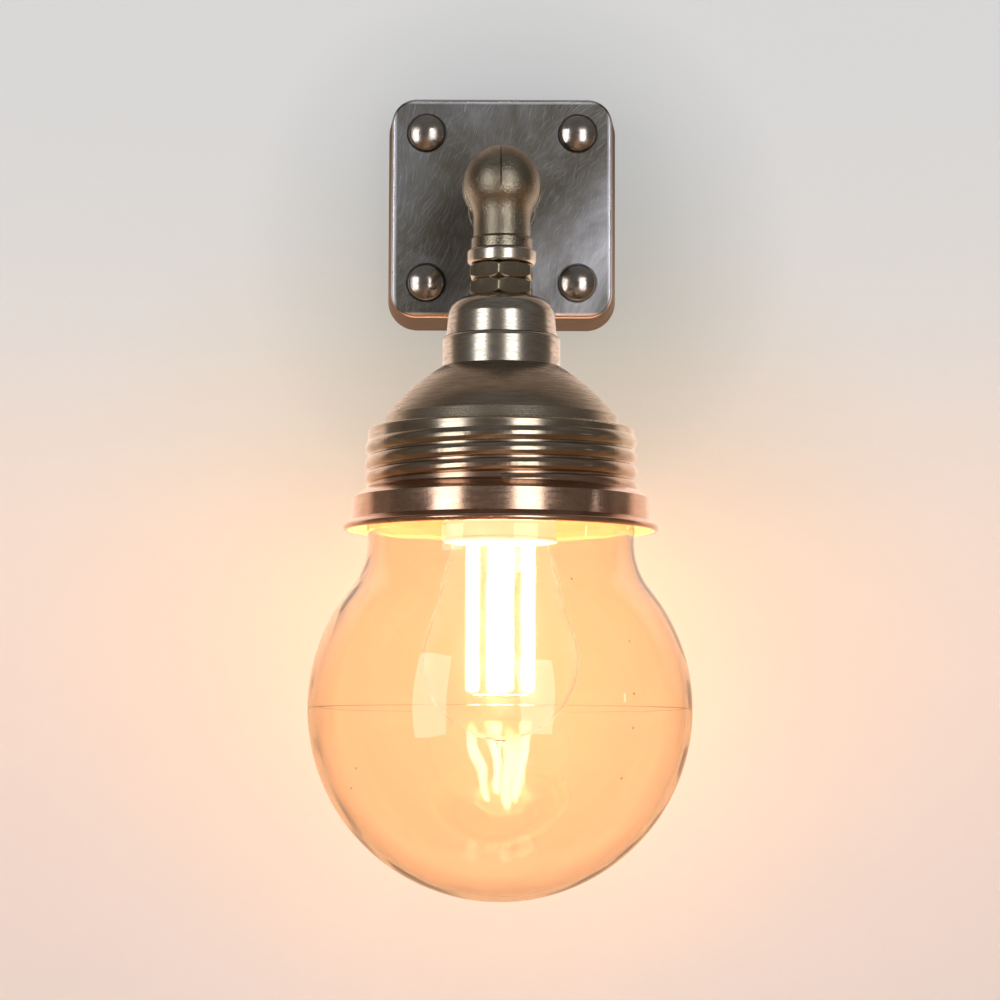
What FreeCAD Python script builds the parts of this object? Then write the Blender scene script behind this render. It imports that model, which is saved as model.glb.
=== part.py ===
import FreeCAD, Part
import math
import os
import re
import Sketcher
from FreeCAD import Placement, Rotation, Vector

# Outdoor wall lamp with a screw-in glass globe, in millimetres.
# The origin is the centre of the wall face of the plate. The wall is at +Y, +Z is up,
# and the lamp stands out towards -Y. A level, here, is a depth below that origin.

document = FreeCAD.newDocument("wall_lamp")

SIZES = {
    # cast back plate: a hollow box with drafted sides and four screw pillars
    "plate_side": 93.0,
    "plate_thickness": 25.0,
    "plate_draft": 4.7,
    "plate_corner": 12.0,
    "plate_wall": 4.0,
    "plate_edge_round": 1.3,
    "plate_inner_corner": 8.0,
    "screw_inset": 16.0,
    "pillar_radius": 6.5,
    "screw_hole_radius": 2.7,
    "cap_seat_radius": 8.1,
    "cap_seat_depth": 1.0,
    "rebate_width": 2.0,
    "seal_width": 4.5,
    "seal_thickness": 2.0,
    # countersunk fixing screws and the domed caps that screw into their heads
    "screw_radius": 2.4,
    "screw_shank_radius": 2.0,
    "screw_thread_out": 1.5,
    "screw_length": 58.0,
    "screw_head_radius": 4.8,
    "screw_point": 5.0,
    "socket_radius": 1.6,
    "socket_depth": 4.0,
    "dome_cap_radius": 7.65,
    "dome_cap_rim": 1.1,
    "dome_cap_edge": 2.6,
    "dome_cap_crown": 13.0,
    # cast elbow arm
    "projection": 85.0,
    "arm_drop": 1.0,
    "ball_radius": 14.8,
    "arm_radius": 13.2,
    "arm_collar_radius": 15.4,
    "arm_collar_gap": 5.0,
    "arm_collar_width": 5.5,
    "arm_foot_radius": 13.7,
    "arm_foot_width": 3.0,
    "arm_round": 1.0,
    "arm_foot_round": 0.4,
    "leg_end_radius": 11.0,
    "leg_collar_radius": 11.85,
    "leg_collar_height": 4.2,
    "leg_collar_slope": 0.8,
    "leg_blend": 16.0,
    "leg_drop": 26.1,
    "leg_round": 0.6,
    "arm_bore_radius": 4.75,
    "spigot_radius": 8.0,
    "spigot_length": 12.0,
    "nipple_socket_depth": 10.0,
    # nut and washer on the arm's spigot inside the plate
    "arm_nut_across": 22.0,
    "arm_nut_height": 5.0,
    "arm_washer_radius": 12.5,
    "arm_washer_thickness": 1.2,
    # all-thread nipple, end ring and the two lock nuts
    "nipple_radius": 6.35,
    "nipple_bore_radius": 4.2,
    "ring_radius": 13.3,
    "ring_height": 5.5,
    "ring_round": 1.1,
    "nut_across": 23.0,
    "nut_height": 6.3,
    "nut_turn": 5.0,
    "nut_chamfer_radius": 11.3,
    "nut_chamfer_drop": 1.4,
    # cover of the lampholder: an upper cap and a lower sleeve
    "cover_wall": 1.6,
    "cover_cap_height": 15.3,
    "cover_cap_radius": 21.2,
    "cover_cap_taper": 0.6,
    "cover_cap_shoulder": 8.4,
    "cover_sleeve_radius": 22.5,
    "cover_sleeve_height": 11.8,
    "cover_sleeve_round": 1.9,
    "cover_spigot_height": 6.0,
    # gallery: dome, threaded collar, band and flared rim
    "metal_wall": 1.3,
    "dome_hole_radius": 17.8,
    "dome_arc_radius": 72.3,
    "dome_arc_height": 19.4,
    "dome_height": 24.1,
    "dome_foot_step": 1.0,
    "ledge_width": 5.8,
    "collar_radius": 50.8,
    "collar_height": 22.5,
    "collar_round": 0.9,
    "band_step": 5.7,
    "shoulder_height": 4.0,
    "band_height": 8.3,
    "rim_step": 3.7,
    "rim_drop": 2.95,
    "bead_radius": 1.25,
    # right-hand rolled thread, shared by the collar and the glass neck
    "thread_pitch": 5.8,
    "thread_inset": 2.3,
    "thread_groove_radius": 2.15,
    "thread_clearance": 0.4,
    "thread_seat": 0.3,
    "thread_start_drop": 3.35,
    "collar_turns": 3.5,
    "groove_run_out": 0.4,
    "glass_turns": 2.0,
    "glass_thread_lag": 0.5,
    # globe and its gasket
    "globe_radius": 73.0,
    "globe_centre_drop": 202.7,
    "globe_wall": 2.6,
    "neck_step": 2.1,
    "neck_blend": 28.0,
    "neck_wall": 2.5,
    "neck_gap": 0.6,
    "neck_shoulder_drop": 21.5,
    "neck_shoulder_height": 3.0,
    "neck_lip_round": 1.1,
    "gasket_thickness": 1.7,
    "gasket_width": 3.5,
    "gasket_gap": 0.4,
    "rest_gap": 0.3,
    # bayonet lampholder with a long protective skirt
    "holder_radius": 17.3,
    "holder_wall": 2.2,
    "holder_boss_radius": 9.2,
    "holder_boss_height": 5.6,
    "holder_height": 38.3,
    "clamp_ring_radius": 21.4,
    "clamp_ring_height": 3.5,
    "clamp_ring_round": 0.8,
    "insert_top_drop": 20.9,
    "insert_height": 10.5,
    "insert_gap": 0.2,
    "plunger_spacing": 9.5,
    "plunger_radius": 2.4,
    "plunger_gap": 0.1,
    "plunger_length": 6.9,
    "plunger_reach": 2.4,
    "plunger_tip_radius": 1.7,
    "spring_radius": 1.7,
    "spring_wire_radius": 0.25,
    "spring_turns": 4.0,
    "spring_room": 5.0,
    "terminal_width": 5.0,
    "terminal_depth": 6.0,
    "terminal_height": 5.6,
    "terminal_spacing": 15.4,
    "terminal_hole_depth": 4.2,
    "terminal_screw_radius": 1.5,
    "terminal_screw_proud": 0.8,
    "sleeve_radius": 12.6,
    "sleeve_wall": 1.1,
    "sleeve_length": 24.5,
    "sleeve_flange_height": 1.5,
    "retainer_height": 2.0,
    "retainer_inner_radius": 13.3,
    "skirt_radius": 20.9,
    "skirt_wall": 1.3,
    "skirt_bead_height": 1.8,
    "skirt_length": 62.8,
    "skirt_neck_height": 10.0,
    "thread_fit": 0.1,
    # bulb with a bayonet cap
    "bulb_cap_radius": 11.0,
    "bulb_cap_height": 24.8,
    "bulb_cap_wall": 0.6,
    "bulb_cap_flare_radius": 14.8,
    "bulb_cap_flare_height": 3.8,
    "pin_radius": 1.0,
    "pin_reach": 13.4,
    "pin_drop": 6.8,
    "pin_gap": 0.3,
    "bayonet_lift": 1.8,
    "bayonet_side": 2.95,
    "disc_thickness": 2.4,
    "contact_radius": 2.2,
    "contact_height": 0.6,
    "bulb_radius": 30.0,
    "bulb_centre_drop": 103.8,
    "bulb_blend_angle": 19.5,
    "bulb_arc_radius": 260.0,
    "bulb_neck_radius": 14.4,
    "bulb_wall": 0.8,
    "bulb_tip_radius": 1.2,
    "bulb_tip_length": 2.6,
    "stem_flare_radius": 13.3,
    "stem_radius": 3.4,
    "stem_flare_height": 9.0,
    "stem_length": 20.0,
    "filament_radius": 1.05,
    "filament_length": 62.0,
    "filament_circle_radius": 10.5,
    "filament_turn": 15.0,
    "filament_lead": 5.0,
    "lead_radius": 0.4,
    "lead_spacing": 1.1,
    "board_width": 20.0,
    "board_length": 13.0,
    "board_thickness": 1.4,
    "capacitor_radius": 2.8,
    "capacitor_length": 8.0,
    # connections inside the plate
    "block_width": 30.0,
    "block_height": 13.0,
    "block_depth": 15.0,
    "block_level": 14.0,
    "block_way_spacing": 9.0,
    "block_way_back": 10.0,
    "block_hole_depth": 10.5,
    "clamp_screw_radius": 2.0,
    "clamp_screw_sunk": 0.4,
    "wire_radius": 1.1,
    "wire_spacing": 3.0,
    "wire_elbow_bend": 7.0,
    "wire_bend": 5.0,
    "wire_clear": 3.0,
    "wire_splay_drop": 5.0,
    "earth_side": 20.0,
    "earth_above_pillars": 14.5,
    "earth_boss_radius": 4.5,
    "earth_boss_height": 4.0,
    "earth_screw_radius": 2.0,
    "earth_head_radius": 3.8,
    "earth_head_height": 2.6,
    "earth_lug_radius": 4.2,
    "earth_lug_thickness": 0.8,
    "earth_barrel_radius": 1.9,
    "earth_barrel_start": 4.6,
    "earth_barrel_length": 5.6,
    # how far a cut runs past the face where it starts
    "overrun": 1.0,
}

FULL_TURN = 360.0
# How near an edge has to lie to a place to be picked out by it.
NEARNESS = 0.01

sheet = document.addObject("Spreadsheet::Sheet", "Sizes")
for row, (alias, value) in enumerate(SIZES.items(), start=1):
    sheet.set(f"A{row}", alias)
    sheet.set(f"B{row}", str(value))
    sheet.setAlias(f"B{row}", alias)
document.recompute()


# Helpers that tie every length to the sheet

def linked(text):
    """The expression with each size's name turned into a reference to the sheet."""
    return re.sub(r"\b[a-z][a-z_]+\b(?!\()", r"Sizes.\g<0>", text)


def measure(text):
    """The value that an expression in sizes has now."""
    return float(sheet.evalExpression(linked(text)))


def bind(thing, **sizes):
    """Ties properties of a feature to expressions in sizes."""
    for name, text in sizes.items():
        thing.setExpression(name, linked(text))
    return thing


def new_body(label, level="0", forward="projection", side="0", turn="0"):
    """A piece whose own origin lies at that level, forward of the wall and to that side."""
    body = document.addObject("PartDesign::Body", label)
    body.Label = label
    body.Placement = Placement(Vector(), Rotation(Vector(0, 0, 1), measure(turn)))
    body.setExpression("Placement.Base.x", linked(side))
    body.setExpression("Placement.Base.y", linked(f"-({forward})"))
    body.setExpression("Placement.Base.z", linked(f"-({level})"))
    return body


def new_sketch(body, plane, offset):
    sketch = body.newObject("Sketcher::SketchObject", "Sketch")
    support = next(o for o in body.Origin.OriginFeatures if o.Role == plane)
    sketch.AttachmentSupport = [(support, "")]
    sketch.MapMode = "FlatFace"
    if offset != "0":
        sketch.setExpression("AttachmentOffset.Base.z", linked(offset))
    return sketch


def pin_point(sketch, edge, end, across, up):
    """Fixes one end of a sketch edge at a place given by two expressions."""
    for kind, text, axis in (("DistanceX", across, -2), ("DistanceY", up, -1)):
        if text == "0":
            sketch.addConstraint(Sketcher.Constraint("PointOnObject", edge, end, axis))
        else:
            index = sketch.addConstraint(Sketcher.Constraint(kind, -1, 1, edge, end, measure(text)))
            sketch.setExpression(f"Constraints[{index}]", linked(text))


def outline(body, corners, plane="XZ_Plane", offset="0"):
    """A closed sketch through corners, each an (across, up) pair of expressions. A corner with
    two more entries is followed by an arc: its radius, and 1 where it turns left or -1 right."""
    sketch = new_sketch(body, plane, offset)
    points = [Vector(measure(corner[0]), measure(corner[1]), 0) for corner in corners]
    ends = []
    for index, corner in enumerate(corners):
        start = points[index]
        end = points[(index + 1) % len(corners)]
        if len(corner) == 2:
            sketch.addGeometry(Part.LineSegment(start, end), False)
            ends.append((1, 2))
            continue
        radius = measure(corner[2])
        chord = end - start
        rise = math.sqrt(max(radius**2 - (chord.Length / 2) ** 2, 0))
        left = Vector(-chord.y, chord.x, 0).normalize()
        centre = (start + end) * 0.5 + left * (rise * corner[3])
        first, last = (start, end) if corner[3] > 0 else (end, start)
        begin = math.atan2(first.y - centre.y, first.x - centre.x)
        stop = math.atan2(last.y - centre.y, last.x - centre.x)
        if stop < begin:
            stop += 2 * math.pi
        circle = Part.Circle(centre, Vector(0, 0, 1), radius)
        sketch.addGeometry(Part.ArcOfCircle(circle, begin, stop), False)
        ends.append((1, 2) if corner[3] > 0 else (2, 1))
    for index in range(len(corners)):
        after = (index + 1) % len(corners)
        sketch.addConstraint(
            Sketcher.Constraint("Coincident", index, ends[index][1], after, ends[after][0])
        )
    for index, corner in enumerate(corners):
        pin_point(sketch, index, ends[index][0], corner[0], corner[1])
        if len(corner) > 2:
            number = sketch.addConstraint(
                Sketcher.Constraint("Radius", index, measure(corner[2]))
            )
            sketch.setExpression(f"Constraints[{number}]", linked(corner[2]))
    return sketch


def circles(body, centres, radius, plane="XZ_Plane", offset="0"):
    """A sketch of equal circles at (across, up) places."""
    sketch = new_sketch(body, plane, offset)
    for index, (across, up) in enumerate(centres):
        middle = Vector(measure(across), measure(up), 0)
        sketch.addGeometry(Part.Circle(middle, Vector(0, 0, 1), measure(radius)), False)
        pin_point(sketch, index, 3, across, up)
        number = sketch.addConstraint(Sketcher.Constraint("Radius", index, measure(radius)))
        sketch.setExpression(f"Constraints[{number}]", linked(radius))
    return sketch


def shaped(body, kind, sketch, reverse=False, **sizes):
    """Adds a PartDesign feature made from a sketch."""
    made = body.newObject("PartDesign::" + kind, kind)
    made.Profile = sketch
    if reverse:
        made.Reversed = True
    return bind(made, **sizes)


def turned(body, corners, kind="Revolution"):
    """Revolves an outline, given as (radius, height) corners, about the piece's own axis."""
    sketch = outline(body, corners)
    made = shaped(body, kind, sketch)
    made.ReferenceAxis = (sketch, ["V_Axis"])
    made.Angle = FULL_TURN
    return made


def drilled(body, centres, radius, depth, plane="XY_Plane", offset="0", reverse=False):
    """Cuts equal round holes."""
    sketch = circles(body, centres, radius, plane, offset)
    return shaped(body, "Pocket", sketch, reverse, Length=depth)


def rounded_square(side, corner):
    """Corners of a square outline with round corners."""
    half = f"({side}) / 2"
    flat = f"(({side}) / 2 - ({corner}))"
    return [
        (flat, f"-{half}", corner, 1),
        (half, f"-{flat}"),
        (half, flat, corner, 1),
        (flat, half),
        (f"-{flat}", half, corner, 1),
        (f"-{half}", flat),
        (f"-{half}", f"-{flat}", corner, 1),
        (f"-{flat}", f"-{half}"),
    ]


def rectangle(across_low, up_low, across_high, up_high):
    return [
        (across_low, up_low),
        (across_high, up_low),
        (across_high, up_high),
        (across_low, up_high),
    ]


def hexagon(across_flats):
    """Corners of a hexagon with one corner on the sketch's first axis."""
    corner = f"({across_flats}) / sqrt(3)"
    half_corner = f"({across_flats}) / sqrt(12)"
    half_flat = f"({across_flats}) / 2"
    return [
        (corner, "0"),
        (half_corner, half_flat),
        (f"-{half_corner}", half_flat),
        (f"-{corner}", "0"),
        (f"-{half_corner}", f"-{half_flat}"),
        (half_corner, f"-{half_flat}"),
    ]


def softened(body, feature, radius, chosen, kind="Fillet", size="Radius"):
    """Rounds or bevels the edges of a feature that the test picks out."""
    document.recompute()
    names = [f"Edge{i}" for i, edge in enumerate(feature.Shape.Edges, start=1) if chosen(edge)]
    made = body.newObject("PartDesign::" + kind, kind)
    made.Base = (feature, names)
    return bind(made, **{size: radius})


def ring_at(radius, place, axis="Z"):
    """A test for a round edge of that radius, at that place along an axis of its own piece."""
    def test(edge):
        box = edge.BoundBox
        low = getattr(box, axis + "Min")
        high = getattr(box, axis + "Max")
        spot = measure(place)
        flat = abs(low - spot) < NEARNESS and abs(high - spot) < NEARNESS
        return flat and abs(box.XMax - measure(radius)) < NEARNESS
    return test


def any_of(*tests):
    """A test that passes where one of several does."""
    return lambda edge: any(test(edge) for test in tests)


def grouped(label, members):
    """Several equal solids as one piece."""
    group = document.addObject("Part::Compound", label)
    group.Label = label
    group.Links = members
    return group


def four_of(label, member):
    """Four copies of a piece that stands in the upper right quarter, mirrored both ways."""
    beside = document.addObject("Part::Mirroring", label + "_beside")
    beside.Source = member
    beside.Normal = Vector(1, 0, 0)
    pair = grouped(label + "_pair", [member, beside])
    below = document.addObject("Part::Mirroring", label + "_below")
    below.Source = pair
    below.Normal = Vector(0, 0, 1)
    return grouped(label, [pair, below])


def route(points, bends):
    """A line of straight runs joined by tangent arcs, one bend radius for each inner point."""
    edges = []
    start = points[0]
    for index, bend in enumerate(bends, start=1):
        here = points[index]
        back = (points[index - 1] - here).normalize()
        on = (points[index + 1] - here).normalize()
        half = back.getAngle(on) / 2
        reach = bend / math.tan(half)
        middle = here + (back + on).normalize() * (bend / math.sin(half) - bend)
        edges.append(Part.LineSegment(start, here + back * reach).toShape())
        edges.append(Part.Arc(here + back * reach, middle, here + on * reach).toShape())
        start = here + on * reach
    edges.append(Part.LineSegment(start, points[-1]).toShape())
    return Part.Wire(edges)


def tube(label, points, bends, radius):
    """A round wire along a route, set as a shape because its path bends in space."""
    path = route(points, bends)
    direction = points[1] - points[0]
    end = Part.Wire([Part.Circle(points[0], direction, radius).toShape()])
    made = document.addObject("Part::Feature", label)
    made.Label = label
    made.Shape = path.makePipeShell([end], True, True)
    share = made.Shape.Volume / (math.pi * radius**2 * path.Length)
    print(f"{label}: length {path.Length:.1f}, volume over section times length {share:.4f}")
    return made


# Levels that stacked pieces share

LEG_END = "(arm_drop + leg_drop)"
RING_END = f"({LEG_END} + ring_height)"
NUT_END = f"({RING_END} + nut_height)"
COVER_TOP = f"({NUT_END} + nut_height)"
SLEEVE_TOP = f"({COVER_TOP} + cover_cap_height)"
DOME_TOP = f"({SLEEVE_TOP} + cover_sleeve_height)"
LEDGE = f"({DOME_TOP} + dome_height)"
THREAD_START = f"({LEDGE} + thread_start_drop)"
THREAD_CENTRE = "(collar_radius - thread_inset)"
DOME_FOOT = "(collar_radius - ledge_width)"
BAND = "(collar_radius + band_step)"
RIM = f"({BAND} + rim_step)"
NECK_THREAD = "(collar_radius - metal_wall - neck_gap)"
NECK = f"({NECK_THREAD} + neck_step)"
GASKET_OUTER = "(collar_radius - metal_wall - gasket_gap)"
HOLDER_TOP = f"({COVER_TOP} + cover_wall)"
HOLDER_SHELL_TOP = f"({HOLDER_TOP} + holder_boss_height)"
INSERT_TOP = f"({HOLDER_TOP} + insert_top_drop)"
INSERT_END = f"({INSERT_TOP} + insert_height)"
BULB_TOP = f"({INSERT_END} + plunger_reach + rest_gap)"
BULB_CAP_END = f"({BULB_TOP} + bulb_cap_height + bulb_cap_flare_height)"
GASKET_TOP = f"({LEDGE} + metal_wall + rest_gap)"
LIP_TOP = f"({GASKET_TOP} + gasket_thickness + rest_gap)"
BORE_DEPTH = "(plunger_length - plunger_reach + spring_room)"
PLUNGER_SIDES = ["plunger_spacing / 2", "-plunger_spacing / 2"]
TERMINAL_SIDES = ["terminal_spacing / 2", "-terminal_spacing / 2"]
HALF_SPACING = "(plate_side / 2 - screw_inset)"
EARTH_LEVEL = f"({HALF_SPACING} - earth_above_pillars)"
SCREW_CENTRES = [
    (f"{across}{HALF_SPACING}", f"{up}{HALF_SPACING}") for across in ("", "-") for up in ("", "-")
]


# Back plate: a cast hollow box, open to the wall, with drafted sides and screw pillars

def back_plate():
    body = new_body("back_plate", forward="0")
    box = shaped(
        body, "Pad", outline(body, rounded_square("plate_side", "plate_corner")),
        Length="plate_thickness", TaperAngle="-plate_draft",
    )
    front = -measure("plate_thickness")
    softened(body, box, "plate_edge_round", lambda edge: edge.BoundBox.YMax < front + NEARNESS)
    inside = rounded_square("plate_side - 2 * plate_wall", "plate_inner_corner")
    shaped(
        body, "Pocket", outline(body, inside), True,
        Length="plate_thickness - plate_wall", TaperAngle="-plate_draft",
    )
    rebate = rounded_square("plate_side - 2 * rebate_width", "plate_inner_corner + rebate_width")
    shaped(body, "Pocket", outline(body, rebate), True, Length="seal_thickness")
    pillars = circles(body, SCREW_CENTRES, "pillar_radius")
    shaped(body, "Pad", pillars, Length="plate_thickness - plate_wall / 2")
    boss_face = "plate_thickness - plate_wall - earth_boss_height"
    earth = [("-earth_side", f"-{EARTH_LEVEL}")]
    boss = circles(body, earth, "earth_boss_radius", offset=boss_face)
    shaped(body, "Pad", boss, Length="earth_boss_height + plate_wall / 2")
    drilled(
        body, earth, "earth_screw_radius + thread_fit", "earth_boss_height", "XZ_Plane",
        boss_face, True,
    )
    drilled(
        body, [("0", "-arm_drop")], "spigot_radius + thread_fit", "plate_thickness + overrun",
        reverse=True, plane="XZ_Plane",
    )
    drilled(
        body, SCREW_CENTRES, "cap_seat_radius", "cap_seat_depth", "XZ_Plane", "plate_thickness",
    )
    holes = drilled(
        body, SCREW_CENTRES, "screw_hole_radius", "plate_thickness + overrun",
        reverse=True, plane="XZ_Plane",
    )
    seat = measure("-(plate_thickness - cap_seat_depth)")
    hole = 2 * measure("screw_hole_radius")

    def mouth(edge):
        box = edge.BoundBox
        flat = abs(box.YMin - seat) < NEARNESS and box.YLength < NEARNESS
        return flat and abs(box.XLength - hole) < NEARNESS
    softened(
        body, holes, "screw_head_radius + thread_fit - screw_hole_radius", mouth,
        "Chamfer", "Size",
    )
    return body


# Wall seal: a rubber frame in the plate's rebate

def plate_seal():
    body = new_body("plate_seal", forward="0")
    outer = rounded_square("plate_side - 2 * rebate_width", "plate_inner_corner + rebate_width")
    inner = rounded_square(
        "plate_side - 2 * rebate_width - 2 * seal_width",
        "plate_inner_corner + rebate_width - seal_width",
    )
    shaped(body, "Pad", outline(body, outer), Length="seal_thickness")
    shaped(body, "Pocket", outline(body, inner), True, Length="seal_thickness")
    return body


# Fixing screws: countersunk, with a plain shank in the plate, a thicker threaded part in the
# wall, a point, and a threaded socket for the domed cap

def fixing_screws():
    body = new_body("fixing_screw", f"-{HALF_SPACING}", "0", HALF_SPACING)
    body.Placement = Placement(body.Placement.Base, Rotation(Vector(1, 0, 0), 90))
    head = "(plate_thickness - cap_seat_depth)"
    slope = "(screw_head_radius - screw_shank_radius)"
    turned(body, [
        ("0", head),
        ("screw_head_radius", head),
        ("screw_shank_radius", f"{head} - {slope}"),
        ("screw_shank_radius", "-screw_thread_out"),
        ("screw_radius", "-screw_thread_out"),
        ("screw_radius", f"{head} - screw_length + screw_point"),
        ("0", f"{head} - screw_length"),
    ])
    drilled(body, [("0", "0")], "socket_radius", "socket_depth", "XY_Plane", head)
    return four_of("fixing_screws", body)


# Domed caps: polished covers with a threaded stub

def screw_caps():
    body = new_body("screw_cap", f"-{HALF_SPACING}", "0", HALF_SPACING)
    body.Placement = Placement(body.Placement.Base, Rotation(Vector(1, 0, 0), 90))
    seat = "(plate_thickness - cap_seat_depth)"
    stub = "(socket_radius - thread_fit)"
    # a crown and a round edge that meet tangentially
    inset = "(dome_cap_radius - dome_cap_edge)"
    reach = "(dome_cap_crown - dome_cap_edge)"
    rise = f"sqrt({reach} * {reach} - {inset} * {inset})"
    meeting = f"dome_cap_crown / {reach}"
    centre = f"({seat} + dome_cap_rim - {rise})"
    turned(body, [
        ("0", f"{seat} - socket_depth / 2"),
        (stub, f"{seat} - socket_depth / 2"),
        (stub, seat),
        ("dome_cap_radius", seat),
        ("dome_cap_radius", f"{seat} + dome_cap_rim", "dome_cap_edge", 1),
        (f"{inset} * {meeting}", f"{centre} + {rise} * {meeting}", "dome_cap_crown", 1),
        ("0", f"{centre} + dome_cap_crown"),
    ])
    return four_of("screw_caps", body)


# Elbow arm: one hollow casting with a ball at the bend

def elbow_arm():
    body = new_body("elbow_arm", "arm_drop")
    # the ball runs down into the leg through a hollow curve
    lean = "((leg_end_radius + leg_blend) / (ball_radius + leg_blend))"
    fall = f"sqrt(1 - {lean} * {lean})"
    turned(body, [
        ("0", "-leg_drop"),
        ("leg_collar_radius", "-leg_drop"),
        ("leg_collar_radius", "-leg_drop + leg_collar_height"),
        ("leg_end_radius", "-leg_drop + leg_collar_height + leg_collar_slope"),
        ("leg_end_radius", f"-(ball_radius + leg_blend) * {fall}", "leg_blend", -1),
        (f"ball_radius * {lean}", f"-ball_radius * {fall}", "ball_radius", 1),
        ("0", "ball_radius"),
    ])
    collar_end = "arm_collar_gap + arm_collar_width"
    foot = "(projection - plate_thickness)"
    arm = outline(body, [
        ("0", "0"),
        ("arm_radius", "0"),
        ("arm_radius", "arm_collar_gap"),
        ("arm_collar_radius - arm_round", "arm_collar_gap", "arm_round", 1),
        ("arm_collar_radius", "arm_collar_gap + arm_round"),
        ("arm_collar_radius", f"{collar_end} - arm_round", "arm_round", 1),
        ("arm_collar_radius - arm_round", collar_end),
        ("arm_radius", collar_end),
        ("arm_radius", f"{foot} - arm_foot_width"),
        ("arm_foot_radius - arm_foot_round", f"{foot} - arm_foot_width", "arm_foot_round", 1),
        ("arm_foot_radius", f"{foot} - arm_foot_width + arm_foot_round"),
        ("arm_foot_radius", foot),
        ("spigot_radius", foot),
        ("spigot_radius", f"{foot} + spigot_length"),
        ("0", f"{foot} + spigot_length"),
    ], "XY_Plane")
    made = shaped(body, "Revolution", arm)
    made.ReferenceAxis = (arm, ["V_Axis"])
    made.Angle = FULL_TURN
    softened(body, made, "leg_round", any_of(
        ring_at("leg_collar_radius", "-leg_drop"),
        ring_at("leg_collar_radius", "-leg_drop + leg_collar_height"),
    ))
    drilled(
        body, [("0", "0")], "arm_bore_radius", f"{foot} + spigot_length + overrun",
        plane="XZ_Plane",
    )
    drilled(body, [("0", "0")], "arm_bore_radius", "leg_drop + overrun")
    drilled(
        body, [("0", "0")], "nipple_radius + thread_fit", "nipple_socket_depth",
        offset="-leg_drop", reverse=True,
    )
    # the two bores meet in a round pocket at the middle of the ball
    pocket = "(arm_bore_radius + overrun)"
    turned(body, [
        ("0", f"-{pocket}", pocket, 1),
        (pocket, "0", pocket, 1),
        ("0", pocket),
    ], "Groove")
    return body


# Nuts: hexagons bevelled at both ends

def hex_nut(label, across, height, hole, level, bevel_radius, turn="0"):
    """A hexagon nut below its level, bevelled at both ends."""
    body = new_body(label, level, turn=turn)
    shaped(body, "Pad", outline(body, hexagon(across), "XY_Plane"), True, Length=height)
    corner = f"({across} / sqrt(3))"
    slope = f"(nut_chamfer_drop / ({corner} - ({bevel_radius})))"
    fall = f"{slope} * ({corner} + overrun - ({bevel_radius}))"
    for face, out in (("0", ""), (f"-{height}", "-")):
        turned(body, [
            (bevel_radius, face),
            (f"{corner} + overrun", f"{face} - {out}({fall})"),
            (f"{corner} + overrun", f"{face} + {out}overrun"),
            (bevel_radius, f"{face} + {out}overrun"),
        ], "Groove")
    drilled(body, [("0", "0")], hole, f"{height} + overrun")
    return body


def lock_nut(label, level):
    return hex_nut(
        label, "nut_across", "nut_height", "nipple_radius + thread_fit", level,
        "nut_chamfer_radius", "-90 - nut_turn",
    )


def arm_nut():
    body = hex_nut(
        "arm_nut", "arm_nut_across", "arm_nut_height", "spigot_radius + thread_fit", "arm_drop",
        "arm_nut_across / 2 + thread_fit",
    )
    body.Placement = Placement(Vector(), Rotation(Vector(1, 0, 0), 90))
    front = "plate_thickness - plate_wall - arm_washer_thickness"
    body.setExpression("Placement.Base.y", linked(f"-({front})"))
    return body


def arm_washer():
    body = new_body("arm_washer", "arm_drop", "plate_thickness - plate_wall - arm_washer_thickness")
    shaped(
        body, "Pad", circles(body, [("0", "0")], "arm_washer_radius"),
        Length="arm_washer_thickness",
    )
    drilled(
        body, [("0", "0")], "spigot_radius + thread_fit", "arm_washer_thickness",
        "XZ_Plane", "0", True,
    )
    return body


# End ring: a polished ring between the arm and the lock nuts

def end_ring():
    body = new_body("end_ring", LEG_END)
    ring = turned(body, [
        ("nipple_radius + thread_fit", "0"),
        ("nipple_radius + thread_fit", "-ring_height"),
        ("ring_radius", "-ring_height"),
        ("ring_radius", "0"),
    ])
    softened(body, ring, "ring_round", any_of(
        ring_at("ring_radius", "0"), ring_at("ring_radius", "-ring_height"),
    ))
    return body


# Nipple: the threaded tube that carries the lamp head and its wires

def nipple():
    body = new_body("nipple", f"{LEG_END} - nipple_socket_depth")
    length = f"({HOLDER_SHELL_TOP} - {LEG_END} + nipple_socket_depth)"
    turned(body, [
        ("nipple_bore_radius", "0"),
        ("nipple_bore_radius", f"-{length}"),
        ("nipple_radius", f"-{length}"),
        ("nipple_radius", "0"),
    ])
    return body


# Cover: the cap over the lampholder and the sleeve that it screws on to

def cover_cap():
    body = new_body("cover_cap", COVER_TOP)
    flat = "(cover_cap_radius - cover_cap_taper - cover_cap_shoulder)"
    top = "(cover_cap_radius - cover_cap_taper)"
    inner_arc = "(cover_cap_shoulder - cover_wall)"
    turned(body, [
        ("nipple_radius + thread_fit", "-cover_wall"),
        (flat, "-cover_wall", inner_arc, -1),
        (f"{top} - cover_wall", "-cover_cap_shoulder"),
        ("cover_cap_radius - cover_wall", "-cover_cap_height"),
        ("cover_cap_radius", "-cover_cap_height"),
        (top, "-cover_cap_shoulder", "cover_cap_shoulder", 1),
        (flat, "0"),
        ("nipple_radius + thread_fit", "0"),
    ])
    return body


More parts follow.
